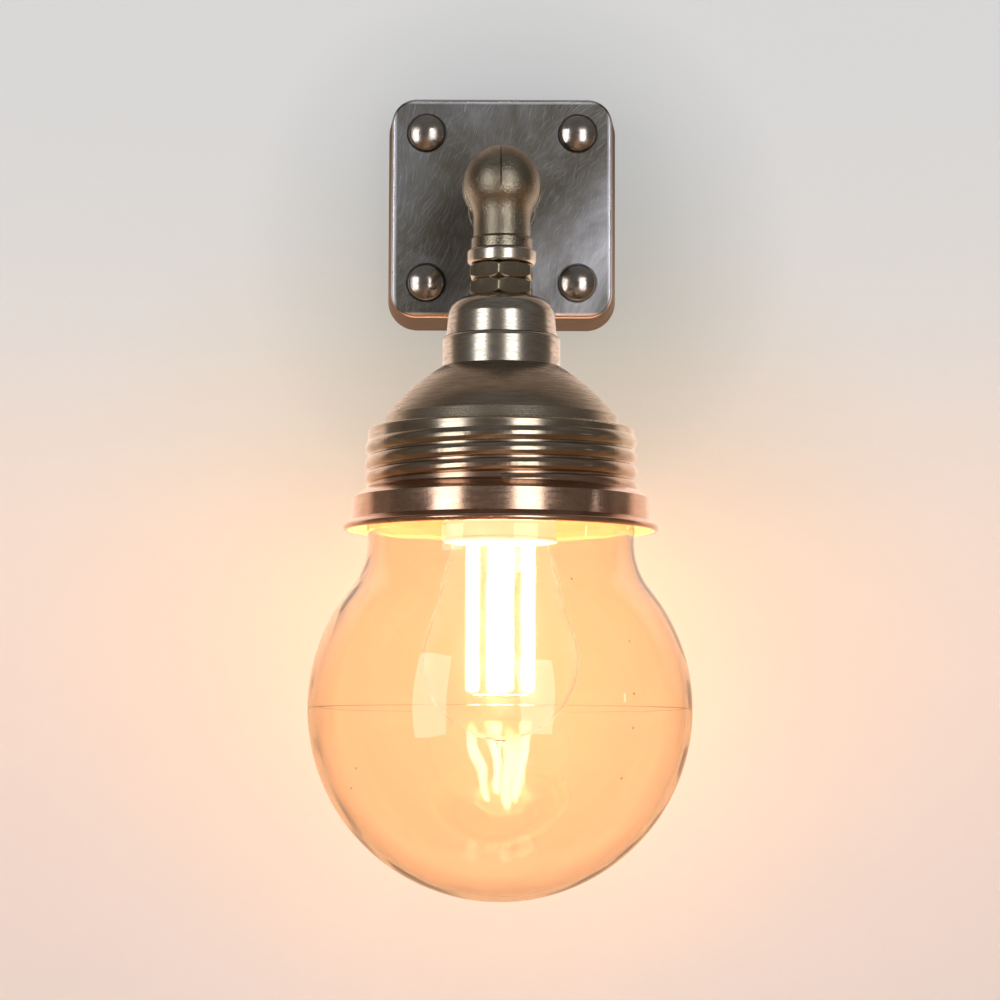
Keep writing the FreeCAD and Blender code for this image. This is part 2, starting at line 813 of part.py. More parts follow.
def cover_sleeve():
    body = new_body("cover_sleeve", SLEEVE_TOP)
    spigot = "(cover_cap_radius - cover_cap_taper - cover_wall - thread_fit)"
    sleeve = turned(body, [
        ("dome_hole_radius", "0"),
        ("dome_hole_radius", "-cover_sleeve_height"),
        ("cover_sleeve_radius", "-cover_sleeve_height"),
        ("cover_sleeve_radius", "-cover_sleeve_round", "cover_sleeve_round", 1),
        ("cover_sleeve_radius - cover_sleeve_round", "0"),
        (spigot, "0"),
        (spigot, "cover_spigot_height"),
        ("dome_hole_radius", "cover_spigot_height"),
    ])
    return body


# Gallery: spun dome with a rolled right-hand thread in its collar, a band and a flared rim

def helix(body, kind, sketch, turns):
    """A right-hand helical feature that descends from its sketch."""
    made = shaped(body, kind, sketch, True)
    made.ReferenceAxis = (sketch, ["V_Axis"])
    made.Mode = "pitch-turns-angle"
    return bind(made, Pitch="thread_pitch", Turns=turns)


def thread_bulge(level, root, radius):
    """Corners of the part of a thread's round section that lies outside its root."""
    reach = f"({root} - {THREAD_CENTRE})"
    half = f"sqrt({radius} * {radius} - {reach} * {reach})"
    return [
        (root, f"-{level} - {half}", radius, 1),
        (root, f"-{level} + {half}"),
    ]


def gallery():
    # the thread starts at the wall side under the ledge, and its groove runs on through the flare,
    # so that the glass thread can leave it
    body = new_body("gallery", DOME_TOP, turn="90")
    wall = "metal_wall"
    collar_end = "(dome_height + collar_height)"
    band_top = f"({collar_end} + shoulder_height)"
    band_end = f"({band_top} + band_height)"
    rim = f"({band_end} + rim_drop)"
    shell = turned(body, [
        ("dome_hole_radius", f"-{wall}"),
        (f"cover_sleeve_radius - {wall} / 3", f"-{wall}", f"dome_arc_radius - {wall}", -1),
        (f"{DOME_FOOT} - dome_foot_step - {wall} / 2", f"-dome_arc_height - {wall}"),
        (f"{DOME_FOOT} - {wall}", f"-dome_height - {wall}"),
        (f"collar_radius - {wall}", f"-dome_height - {wall}"),
        (f"collar_radius - {wall}", f"-{collar_end} - {wall} / 2"),
        (f"{BAND} - {wall}", f"-{band_top} - {wall} / 2"),
        (f"{BAND} - {wall}", f"-{band_end} - {wall} / 3"),
        (f"{RIM} - bead_radius * 3 / 2", f"-{rim}"),
        (f"{RIM} - bead_radius / 2", f"-{rim} + bead_radius / 2"),
        (BAND, f"-{band_end}"),
        (BAND, f"-{band_top}"),
        ("collar_radius", f"-{collar_end}"),
        ("collar_radius", "-dome_height"),
        (DOME_FOOT, "-dome_height"),
        (f"{DOME_FOOT} - dome_foot_step", "-dome_arc_height", "dome_arc_radius", 1),
        ("cover_sleeve_radius", "0"),
        ("dome_hole_radius", "0"),
    ])
    softened(body, shell, "collar_round", ring_at("collar_radius", "-dome_height"))
    bead = circles(body, [(f"{RIM} - bead_radius", f"-{rim}")], "bead_radius")
    rolled = shaped(body, "Revolution", bead)
    rolled.ReferenceAxis = (bead, ["V_Axis"])
    rolled.Angle = FULL_TURN
    start = "(dome_height + thread_start_drop)"
    ridge = outline(body, thread_bulge(
        start, "(collar_radius - thread_seat)", "(thread_groove_radius + metal_wall)"
    ))
    helix(body, "AdditiveHelix", ridge, "collar_turns")
    groove = outline(body, thread_bulge(
        start, "(collar_radius - metal_wall - thread_seat)", "thread_groove_radius"
    ))
    helix(body, "SubtractiveHelix", groove, "collar_turns + groove_run_out")
    return body


# Neck gasket: a flat rubber ring between the ledge and the glass lip

def neck_gasket():
    body = new_body("neck_gasket", GASKET_TOP)
    turned(body, [
        (f"{GASKET_OUTER} - gasket_width", "0"),
        (f"{GASKET_OUTER} - gasket_width", "-gasket_thickness"),
        (GASKET_OUTER, "-gasket_thickness"),
        (GASKET_OUTER, "0"),
    ])
    return body


# Globe: blown glass with a moulded thread on its neck

def globe_profile(wall, neck_wall):
    """The globe's outline at a distance inside its outer face, from the bottom up."""
    lean = f"(({NECK} + neck_blend) / (globe_radius + neck_blend))"
    rise = f"sqrt(1 - {lean} * {lean})"
    centre = "-globe_centre_drop"
    shoulder = f"({LIP_TOP} + neck_shoulder_drop)"
    return [
        ("0", f"{centre} - globe_radius + {wall}", f"globe_radius - {wall}", 1),
        (
            f"(globe_radius - {wall}) * {lean}",
            f"{centre} + (globe_radius - {wall}) * {rise}",
            f"neck_blend + {wall}", -1,
        ),
        (f"{NECK} - {wall}", f"{centre} + (globe_radius + neck_blend) * {rise}"),
        (f"{NECK} - {wall}", f"-{shoulder} - neck_shoulder_height"),
        (f"{NECK_THREAD} - {neck_wall}", f"-{shoulder}"),
    ]


def globe():
    body = new_body("globe", forward="projection", turn="90 - 360 * glass_thread_lag")
    turned(body, globe_profile("0", "0") + [
        (NECK_THREAD, f"-{LIP_TOP} - neck_lip_round", "neck_lip_round", 1),
        (f"{NECK_THREAD} - neck_lip_round", f"-{LIP_TOP}"),
        ("0", f"-{LIP_TOP}"),
    ])
    start = f"({THREAD_START} + glass_thread_lag * thread_pitch)"
    ridge = outline(body, thread_bulge(
        start, f"({NECK_THREAD} - thread_seat)", "(thread_groove_radius - thread_clearance)"
    ))
    helix(body, "AdditiveHelix", ridge, "glass_turns")
    turned(body, globe_profile("globe_wall", "neck_wall") + [
        (f"{NECK_THREAD} - neck_wall", f"-{LIP_TOP} + overrun"),
        ("0", f"-{LIP_TOP} + overrun"),
    ], "Groove")
    return body


# Lampholder: body, clamp ring, insert, terminals, plungers, bayonet sleeve, retainer and skirt

def holder_body():
    body = new_body("holder_body", HOLDER_TOP)
    end = "(holder_boss_height + holder_height)"
    turned(body, [
        ("nipple_radius + thread_fit", "0"),
        ("nipple_radius + thread_fit", "-holder_boss_height - holder_wall"),
        ("holder_radius - holder_wall", "-holder_boss_height - holder_wall"),
        ("holder_radius - holder_wall", f"-{end}"),
        ("holder_radius", f"-{end}"),
        ("holder_radius", "-holder_boss_height"),
        ("holder_boss_radius", "-holder_boss_height"),
        ("holder_boss_radius", "0"),
    ])
    return body


def clamp_ring():
    body = new_body("clamp_ring", f"{DOME_TOP} + metal_wall")
    ring = turned(body, [
        ("holder_radius + thread_fit", "0"),
        ("holder_radius + thread_fit", "-clamp_ring_height"),
        ("clamp_ring_radius", "-clamp_ring_height"),
        ("clamp_ring_radius", "0"),
    ])
    softened(
        body, ring, "clamp_ring_round", ring_at("clamp_ring_radius", "-clamp_ring_height")
    )
    return body


def holder_insert():
    body = new_body("holder_insert", INSERT_TOP)
    turned(body, [
        ("0", "0"),
        ("0", "-insert_height"),
        ("holder_radius - holder_wall - insert_gap", "-insert_height"),
        ("holder_radius - holder_wall - insert_gap", "0"),
    ])
    centres = [("plunger_spacing / 2", "0"), ("-plunger_spacing / 2", "0")]
    drilled(
        body, centres, "plunger_radius + plunger_gap", BORE_DEPTH,
        offset="-insert_height", reverse=True,
    )
    return body


def plunger(side):
    body = new_body("plunger", f"{INSERT_END} + plunger_reach", side=side)
    turned(body, [
        ("0", "0"),
        ("plunger_tip_radius", "0"),
        ("plunger_radius", "plunger_radius - plunger_tip_radius"),
        ("plunger_radius", "plunger_length"),
        ("0", "plunger_length"),
    ])
    return body


def plunger_spring(side):
    body = new_body("plunger_spring", f"{INSERT_END} - {BORE_DEPTH} + spring_room", side=side)
    wire = circles(body, [("spring_radius", "spring_wire_radius")], "spring_wire_radius")
    made = shaped(body, "AdditiveHelix", wire)
    made.ReferenceAxis = (wire, ["V_Axis"])
    made.Mode = "height-turns-angle"
    bind(made, Height="spring_room - 2 * spring_wire_radius - thread_fit", Turns="spring_turns")
    return body


def terminal(side):
    body = new_body("terminal", INSERT_TOP, side=side)
    block = rectangle(
        "-terminal_width / 2", "-terminal_depth / 2", "terminal_width / 2", "terminal_depth / 2"
    )
    shaped(body, "Pad", outline(body, block, "XY_Plane"), Length="terminal_height")
    drilled(
        body, [("0", "0")], "wire_radius + thread_fit", "terminal_hole_depth",
        offset="terminal_height",
    )
    drilled(
        body, [("0", "terminal_height / 2")], "terminal_screw_radius + thread_fit",
        "terminal_depth / 2", "XZ_Plane", "terminal_depth / 2",
    )
    return body


def terminal_screw(side):
    body = new_body("terminal_screw", f"{INSERT_TOP} - terminal_height / 2", side=side)
    screw = circles(
        body, [("0", "0")], "terminal_screw_radius", "XZ_Plane", "wire_radius + thread_fit"
    )
    shaped(
        body, "Pad", screw,
        Length="terminal_depth / 2 - wire_radius - thread_fit + terminal_screw_proud",
    )
    return body


def bayonet_sleeve():
    body = new_body("bayonet_sleeve", INSERT_END)
    bore = "(sleeve_radius - sleeve_wall)"
    turned(body, [
        (bore, "0"),
        (bore, "-sleeve_length"),
        ("sleeve_radius", "-sleeve_length"),
        ("sleeve_radius", "-sleeve_flange_height"),
        ("holder_radius - holder_wall - insert_gap", "-sleeve_flange_height"),
        ("holder_radius - holder_wall - insert_gap", "0"),
    ])
    # the slot runs up from the mouth, then slants down to the seat of the bulb's pin
    drop = "(plunger_reach + rest_gap + pin_drop)"
    room = "(pin_radius + pin_gap)"
    slope = "(bayonet_lift / bayonet_side)"
    spread = f"{room} * sqrt(1 + {slope} * {slope})"
    shift = f"({spread} - {room}) / {slope}"
    hook = "-bayonet_side + pin_radius + pin_gap"
    top = f"-{drop} + bayonet_lift + {room}"
    slot = outline(body, [
        (f"-bayonet_side - {room}", "-sleeve_length - overrun"),
        (hook, "-sleeve_length - overrun"),
        (hook, f"-{drop} - {slope} * ({hook}) - {spread}"),
        (f"-{shift}", f"-{drop} - {room}"),
        (room, f"-{drop} - {room}"),
        (room, f"-{drop} + {room}"),
        (shift, f"-{drop} + {room}"),
        (f"-bayonet_side + {shift}", top),
        (f"-bayonet_side - {room}", top),
    ], "YZ_Plane")
    cut = shaped(body, "Pocket", slot, True, Length="holder_radius")
    around = body.newObject("PartDesign::PolarPattern", "PolarPattern")
    around.Originals = [cut]
    around.Axis = (slot, ["V_Axis"])
    around.Angle = FULL_TURN
    around.Occurrences = 2
    body.Tip = around
    return body


def sleeve_retainer():
    body = new_body("sleeve_retainer", f"{INSERT_END} + sleeve_flange_height")
    turned(body, [
        ("retainer_inner_radius", "0"),
        ("retainer_inner_radius", "-retainer_height"),
        ("holder_radius - holder_wall - thread_fit", "-retainer_height"),
        ("holder_radius - holder_wall - thread_fit", "0"),
    ])
    return body


def holder_skirt():
    body = new_body("holder_skirt", f"{DOME_TOP} + metal_wall + clamp_ring_height + insert_gap")
    bore = "(skirt_radius - skirt_wall)"
    bead = "skirt_bead_height / 2"
    turned(body, [
        ("holder_radius + thread_fit", "0"),
        ("holder_radius + thread_fit", "-skirt_neck_height"),
        (bore, "-skirt_neck_height - skirt_wall"),
        (bore, "-skirt_length"),
        ("skirt_radius", "-skirt_length", bead, 1),
        ("skirt_radius", "-skirt_length + skirt_bead_height"),
        ("skirt_radius", "0"),
    ])
    return body


# Bulb: bayonet cap with its pins, insulating disc and contacts, glass, stem and filaments

def bulb_cap():
    body = new_body("bulb_cap", BULB_TOP)
    flare_end = "(bulb_cap_height + bulb_cap_flare_height)"
    inner = "(bulb_cap_radius - bulb_cap_wall)"
    turned(body, [
        (inner, "-disc_thickness / 2"),
        (inner, "-bulb_cap_height"),
        ("bulb_cap_flare_radius - bulb_cap_wall", f"-{flare_end}"),
        ("bulb_cap_flare_radius", f"-{flare_end}"),
        ("bulb_cap_radius", "-bulb_cap_height"),
        ("bulb_cap_radius", "-disc_thickness / 2"),
    ])
    for side in ("", "-"):
        pin = circles(body, [("0", "-pin_drop")], "pin_radius", "YZ_Plane", f"{side}{inner}")
        shaped(body, "Pad", pin, side == "-", Length=f"pin_reach - {inner}")
    return body





def cap_disc():
    body = new_body("cap_disc", BULB_TOP)
    inner = "(bulb_cap_radius - bulb_cap_wall)"
    turned(body, [
        ("0", "-contact_height"),
        ("0", "-disc_thickness - contact_height"),
        (f"{inner} - thread_fit", "-disc_thickness - contact_height"),
        (f"{inner} - thread_fit", "-disc_thickness / 2"),
        (f"{inner} - thread_fit - contact_height", "-contact_height"),
    ])
    return body


def cap_contact(side):
    body = new_body("cap_contact", BULB_TOP, side=side)
    turned(body, [
        ("0", "-contact_height"),
        ("contact_radius", "-contact_height"),
        ("contact_radius / 2", "0"),
        ("0", "0"),
    ])
    return body


def bulb_glass_profile(wall):
    """The bulb's neck at a distance inside its outer face, from the ball up."""
    return [
        (
            f"(bulb_radius - {wall}) * cos(bulb_blend_angle)",
            f"-bulb_centre_drop + (bulb_radius - {wall}) * sin(bulb_blend_angle)",
            f"bulb_arc_radius + {wall}", -1,
        ),
        (f"bulb_neck_radius - {wall}", "-bulb_cap_height - bulb_cap_flare_height"),
        ("0", "-bulb_cap_height - bulb_cap_flare_height"),
    ]


def bulb_glass():
    body = new_body("bulb_glass", BULB_TOP)
    centre = "-bulb_centre_drop"
    tip = "bulb_tip_radius"
    tip_end = f"{centre} - bulb_radius - bulb_tip_length"
    on_ball = f"sqrt(bulb_radius * bulb_radius - 4 * {tip} * {tip})"
    turned(body, [
        ("0", tip_end, tip, 1),
        (tip, f"{tip_end} + {tip}"),
        (f"2 * {tip}", f"{centre} - {on_ball}", "bulb_radius", 1),
    ] + bulb_glass_profile("0"))
    turned(body, [
        ("0", f"{centre} - bulb_radius + bulb_wall", "bulb_radius - bulb_wall", 1),
    ] + bulb_glass_profile("bulb_wall"), "Groove")
    return body


def bulb_stem():
    body = new_body("bulb_stem", BULB_CAP_END)
    turned(body, [
        ("0", "-stem_length"),
        ("stem_radius / 2", "-stem_length"),
        ("stem_radius", "-stem_length + stem_radius"),
        ("stem_radius", "-stem_flare_height"),
        ("stem_flare_radius", "0"),
        ("0", "0"),
    ])
    return body


FILAMENT_TOP = f"({BULB_CAP_END} + stem_length + filament_lead)"


def filaments():
    """Four light-emitting rods on a circle, each a plain rod."""
    members = []
    for quarter in range(4):
        rod = document.addObject("Part::Cylinder", "filament")
        rod.Radius = measure("filament_radius")
        bind(rod, Radius="filament_radius", Height="filament_length")
        turn = f"(filament_turn + {90 * quarter})"
        rod.setExpression("Placement.Base.x", linked(f"filament_circle_radius * sin({turn})"))
        rod.setExpression(
            "Placement.Base.y", linked(f"-projection - filament_circle_radius * cos({turn})")
        )
        rod.setExpression("Placement.Base.z", linked(f"-({FILAMENT_TOP} + filament_length)"))
        members.append(rod)
    return grouped("filaments", members)


def filament_leads():
    """Bent wires from the stem to the rods' upper ends, and cross wires under their lower ends."""
    axis = Vector(0, -measure("projection"), 0)
    top = measure(FILAMENT_TOP)
    lead = measure("filament_lead")
    reach = measure("filament_circle_radius")
    spacing = measure("lead_spacing")
    thick = measure("lead_radius")
    gap = measure("thread_fit")
    low = top + measure("filament_length") + gap + thick
    made = []
    for quarter in range(4):
        angle = math.radians(measure("filament_turn") + 90 * quarter)
        out = Vector(math.sin(angle), -math.cos(angle), 0)
        points = [
            axis + out * spacing - Vector(0, 0, top - lead + gap),
            axis + out * spacing - Vector(0, 0, top - lead * 3 / 4),
            axis + out * reach - Vector(0, 0, top - lead * 2 / 5),
            axis + out * reach - Vector(0, 0, top - gap),
        ]
        path = route(points, [thick, thick])
        ring = Part.Wire([Part.Circle(points[0], Vector(0, 0, -1), thick).toShape()])
        made.append(path.makePipeShell([ring], True, True))
    for index in range(2):
        angle = math.radians(measure("filament_turn") + 90 * index)
        out = Vector(math.sin(angle), -math.cos(angle), 0)
        here = axis + out * reach - Vector(0, 0, low + index * (2 * thick + gap))
        made.append(Part.makeCylinder(thick, 2 * reach, here, -out))
    leads = document.addObject("Part::Feature", "filament_leads")
    leads.Label = "filament_leads"
    leads.Shape = Part.makeCompound(made)
    return leads


def driver_board():
    body = new_body("driver_board", f"{BULB_TOP} + bulb_cap_height / 3")
    board = rectangle("-board_width / 2", "-board_length", "board_width / 2", "0")
    shaped(body, "Pad", outline(body, board, "XZ_Plane"), Length="board_thickness")
    can = circles(
        body, [("0", "-board_length / 2")], "capacitor_radius", "XZ_Plane", "board_thickness / 2"
    )
    shaped(body, "Pad", can, Length="capacitor_length")
    return body


# Connections in the plate: terminal block, clamp screws, earth screw and lug, and the wires

WAYS = ["block_way_spacing", "0", "-block_way_spacing"]
WIRE_PLANE = "(plate_thickness - plate_wall - block_way_back)"


def terminal_block():
    body = new_body("terminal_block", "-block_level", "plate_thickness - plate_wall")
    block = rectangle("-block_width / 2", "0", "block_width / 2", "block_height")
    shaped(body, "Pad", outline(body, block, "XZ_Plane"), True, Length="block_depth")
    drilled(
        body, [(way, "block_way_back") for way in WAYS], "wire_radius + thread_fit",
        "block_hole_depth", reverse=True,
    )
    drilled(
        body, [(way, "block_height / 2") for way in WAYS], "clamp_screw_radius + thread_fit",
        "block_depth - block_way_back", "XZ_Plane", "-block_depth", True,
    )
    return body


def clamp_screw(way):
    """A screw that presses a wire in the block, as a rod on its own axis."""
    body = new_body("clamp_screw", "-block_level - block_height / 2", WIRE_PLANE, way)
    screw = circles(body, [("0", "0")], "clamp_screw_radius", offset="-wire_radius")
    shaped(
        body, "Pad", screw, True,
        Length="block_depth - block_way_back - wire_radius - clamp_screw_sunk",
    )
    return body


BOSS_FACE = "(plate_thickness - plate_wall - earth_boss_height)"


def earth_lug():
    body = new_body("earth_lug", EARTH_LEVEL, BOSS_FACE, "-earth_side")
    middle = "(earth_lug_thickness + wire_radius)"
    shaped(
        body, "Pad", circles(body, [("0", "0")], "earth_lug_radius"), True,
        Length="earth_lug_thickness",
    )
    tail = rectangle(
        "-earth_barrel_radius", "0", "earth_barrel_radius",
        "earth_barrel_start + earth_barrel_length",
    )
    shaped(body, "Pad", outline(body, tail), True, Length="earth_lug_thickness")
    barrel = circles(
        body, [("0", middle)], "earth_barrel_radius", "XY_Plane", "earth_barrel_start"
    )
    shaped(body, "Pad", barrel, Length="earth_barrel_length")
    drilled(
        body, [("0", middle)], "wire_radius + thread_fit", "earth_barrel_length",
        offset="earth_barrel_start", reverse=True,
    )
    drilled(
        body, [("0", "0")], "earth_screw_radius + thread_fit", "earth_lug_thickness",
        plane="XZ_Plane",
    )
    return body


def earth_screw():
    body = new_body("earth_screw", EARTH_LEVEL, BOSS_FACE, "-earth_side")
    head = circles(body, [("0", "0")], "earth_head_radius", offset="-earth_lug_thickness")
    shaped(body, "Pad", head, True, Length="earth_head_height")
    shank = circles(body, [("0", "0")], "earth_screw_radius", offset="-earth_lug_thickness")
    shaped(body, "Pad", shank, Length="earth_lug_thickness + earth_boss_height * 3 / 4")
    return body


def place(side, forward, level):
    """A point at that side, forward of the wall and at that depth below the origin."""
    return Vector(measure(side), -measure(forward), -measure(level))


def line_wire(label, sign, way):
    """A wire from the block through the arm and the nipple to a terminal of the lampholder."""
    side = f"{sign}wire_spacing / 2"
    end = f"{sign}terminal_spacing / 2"
    splay = f"({HOLDER_SHELL_TOP} + rest_gap)"
    points = [
        place(way, WIRE_PLANE, "-block_level - block_hole_depth + wire_radius"),
        place(way, WIRE_PLANE, "-block_level + wire_clear"),
        place(side, WIRE_PLANE, "arm_drop"),
        place(side, "projection", "arm_drop"),
        place(side, "projection", splay),
        place(end, "projection", f"{splay} + wire_splay_drop"),
        place(end, "projection", f"{INSERT_TOP} - terminal_height + terminal_hole_depth - thread_fit"),
    ]
    bend = measure("wire_bend")
    elbow = measure("wire_elbow_bend")
    return tube(label, points, [bend, bend, elbow, bend, bend], measure("wire_radius"))


def earth_wire():
    """A wire from the block to the lug on the plate's earth boss."""
    forward = f"{BOSS_FACE} - earth_lug_thickness - wire_radius"
    way = "-block_way_spacing"
    barrel = f"({EARTH_LEVEL} - earth_barrel_start - earth_barrel_length)"
    points = [
        place(way, WIRE_PLANE, "-block_level - block_hole_depth + wire_radius"),
        place(way, WIRE_PLANE, "-block_level + wire_clear"),
        place("-earth_side", forward, f"{barrel} - wire_clear"),
        place("-earth_side", forward, f"{barrel} + earth_barrel_length / 2"),
    ]
    bend = measure("wire_bend")
    return tube("earth_wire", points, [bend, bend], measure("wire_radius"))


pieces = [
    back_plate(),
    plate_seal(),
    fixing_screws(),
    screw_caps(),
    elbow_arm(),
    arm_washer(),
    arm_nut(),
    end_ring(),
    lock_nut("lock_nut_upper", RING_END),
    lock_nut("lock_nut_lower", NUT_END),
    nipple(),
    cover_cap(),
    cover_sleeve(),
    gallery(),
    neck_gasket(),
    globe(),
    holder_body(),
    clamp_ring(),
    holder_insert(),
    grouped("plungers", [plunger(side) for side in PLUNGER_SIDES]),
    grouped("plunger_springs", [plunger_spring(side) for side in PLUNGER_SIDES]),
    grouped("holder_terminals", [terminal(side) for side in TERMINAL_SIDES]),
    grouped("terminal_screws", [terminal_screw(side) for side in TERMINAL_SIDES]),
    bayonet_sleeve(),
    sleeve_retainer(),
    holder_skirt(),
    bulb_cap(),
    cap_disc(),
    grouped("cap_contacts", [cap_contact(side) for side in PLUNGER_SIDES]),
    bulb_glass(),
    bulb_stem(),
    filaments(),
    filament_leads(),
    driver_board(),
    terminal_block(),
    grouped("clamp_screws", [clamp_screw(way) for way in WAYS]),
    earth_lug(),
    earth_screw(),
    line_wire("live_wire", "", WAYS[0]),
    line_wire("neutral_wire", "-", WAYS[1]),
    earth_wire(),
]

document.recompute()
faults = [thing.Name for thing in document.Objects
          if "Invalid" in thing.State or "Error" in thing.State]
if faults:
    raise ValueError("features failed: " + ", ".join(faults))
for piece in pieces:
    if piece.Shape.isNull() or not piece.Shape.isValid() or not piece.Shape.Solids:
        raise ValueError("bad shape: " + piece.Label)
os.makedirs("parts", exist_ok=True)
for piece in pieces:
    piece.Shape.exportStep(f"parts/{piece.Label}.step")

turn_gap = measure(
    "(spring_room - 2 * spring_wire_radius - thread_fit) / spring_turns - 2 * spring_wire_radius"
)
print(f"plunger springs: {turn_gap:.2f} between turns")
print(f"{len(pieces)} pieces, {sum(len(piece.Shape.Solids) for piece in pieces)} solids")
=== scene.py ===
import math

import bpy
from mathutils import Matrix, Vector


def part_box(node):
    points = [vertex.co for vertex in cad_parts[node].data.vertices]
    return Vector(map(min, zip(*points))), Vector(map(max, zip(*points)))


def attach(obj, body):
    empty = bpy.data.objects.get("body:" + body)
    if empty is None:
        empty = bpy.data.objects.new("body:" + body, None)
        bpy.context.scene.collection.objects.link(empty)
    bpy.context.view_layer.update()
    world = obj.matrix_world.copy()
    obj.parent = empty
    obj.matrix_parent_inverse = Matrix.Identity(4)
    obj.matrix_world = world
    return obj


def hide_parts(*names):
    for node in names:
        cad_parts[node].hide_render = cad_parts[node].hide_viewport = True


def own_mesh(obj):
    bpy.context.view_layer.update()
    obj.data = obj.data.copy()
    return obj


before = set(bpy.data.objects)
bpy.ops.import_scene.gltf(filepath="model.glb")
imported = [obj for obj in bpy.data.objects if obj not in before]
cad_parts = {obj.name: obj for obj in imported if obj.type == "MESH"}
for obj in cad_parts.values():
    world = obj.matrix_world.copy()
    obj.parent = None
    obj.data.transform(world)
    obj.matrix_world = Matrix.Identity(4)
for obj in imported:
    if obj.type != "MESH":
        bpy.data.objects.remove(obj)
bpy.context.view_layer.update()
bpy.ops.object.select_all(action="DESELECT")


# Back plate: a nickel-plated casting, hollow towards the wall, with sides that lean in a little.
# Its face is sanded by hand in long crossing strokes, left cloudy by the dark wax that is wiped
# off it, and its edges are rounded on a buffing wheel. Its colour also holds painted light: a
# painted sheen on the brighter strokes and towards the lower right, a painted shade in the middle
# round the arm, and a painted highlight along the front edge, warm at the lower edge as a painted
# reflection of the bulb's light.

def add(tree, kind, inputs=None, **settings):
    """Adds a shader node, sets its properties, and sets or wires its inputs."""
    node = tree.nodes.new("ShaderNode" + kind)
    for key, value in settings.items():
        setattr(node, key, value)
    for key, value in (inputs or {}).items():
        if isinstance(value, bpy.types.NodeSocket):
            tree.links.new(value, node.inputs[key])
        else:
            node.inputs[key].default_value = value
    return node


def sums(tree, operation, *values):
    """The result socket of a Math node fed with sockets or numbers."""
    return add(tree, "Math", dict(enumerate(values)), operation=operation).outputs[0]


def tinted(tree, share, first, second, blend="MIX"):
    """The result socket of a colour mix, by a share, of two colours or sockets."""
    mix = add(tree, "Mix", {0: share, 6: first, 7: second}, data_type="RGBA", blend_type=blend)
    return mix.outputs[2]


def spread(tree, value, low, high, to_low=0.0, to_high=1.0):
    """Stretches a value from one range to another, kept within the second."""
    place = {"Value": value, "From Min": low, "From Max": high, "To Min": to_low, "To Max": to_high}
    return add(tree, "MapRange", place).outputs["Result"]


def finish(name, colour, roughness, metallic=0.0, **inputs):
    """A new material. Returns it with its node tree, shader and object coordinates."""
    made = bpy.data.materials.new(name)
    made.use_nodes = True
    tree = made.node_tree
    tree.nodes.clear()
    settings = {"Base Color": (*colour, 1.0), "Roughness": roughness, "Metallic": metallic}
    settings.update(inputs)
    shader = add(tree, "BsdfPrincipled", settings)
    out = add(tree, "OutputMaterial")
    tree.links.new(shader.outputs[0], out.inputs[0])
    place = add(tree, "TexCoord").outputs["Object"]
    return made, tree, shader, place


def feed(tree, shader, **sockets):
    """Wires sockets to the shader's inputs, with an underscore for each space in a name."""
    for name, socket in sockets.items():
        tree.links.new(socket, shader.inputs[name.replace("_", " ")])


def raised(tree, height, depth):
    """A normal raised by a height pattern, to a depth in metres."""
    bump = add(tree, "Bump", {"Strength": 1.0, "Distance": depth, "Height": height})
    return bump.outputs["Normal"]


def dress(made, *names):
    """Gives CAD nodes a finish."""
    for name in names:
        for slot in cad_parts[name].material_slots:
            slot.material = made


def effect(name, inputs, outputs):
    """An empty shader node group. Returns its tree, its input sockets and its output node."""
    tree = bpy.data.node_groups.new(name, "ShaderNodeTree")
    for label, kind, value in inputs:
        socket = tree.interface.new_socket(label, in_out="INPUT", socket_type="NodeSocket" + kind)
        if value is not None:
            socket.default_value = value
    for label, kind in outputs:
        tree.interface.new_socket(label, in_out="OUTPUT", socket_type="NodeSocket" + kind)
    return tree, tree.nodes.new("NodeGroupInput").outputs, tree.nodes.new("NodeGroupOutput").inputs


def use(tree, group, **values):
    """Places a node group in a tree and returns its outputs."""
    node = tree.nodes.new("ShaderNodeGroup")
    node.node_tree = group
    for key, value in values.items():
        key = key.replace("_", " ")
        if isinstance(value, bpy.types.NodeSocket):
            tree.links.new(value, node.inputs[key])
        else:
            node.inputs[key].default_value = value
    return node.outputs


def make_clouds():
    """Soft blotches, as wax or handling leaves them: a mask that is 1 in the blotches."""
    tree, given, out = effect(
        "wax_clouds",
        [("Vector", "Vector", None), ("Scale", "Float", 30.0), ("Share", "Float", 0.5)],
        [("Mask", "Float")],
    )
    broad = add(tree, "TexNoise", {
        "Vector": given["Vector"], "Scale": given["Scale"], "Detail": 6.0, "Roughness": 0.62,
        "Distortion": 0.6,
    })
    low = sums(tree, "SUBTRACT", 0.78, given["Share"])
    high = sums(tree, "ADD", low, 0.22)
    tree.links.new(spread(tree, broad.outputs["Fac"], low, high), out["Mask"])
    return tree


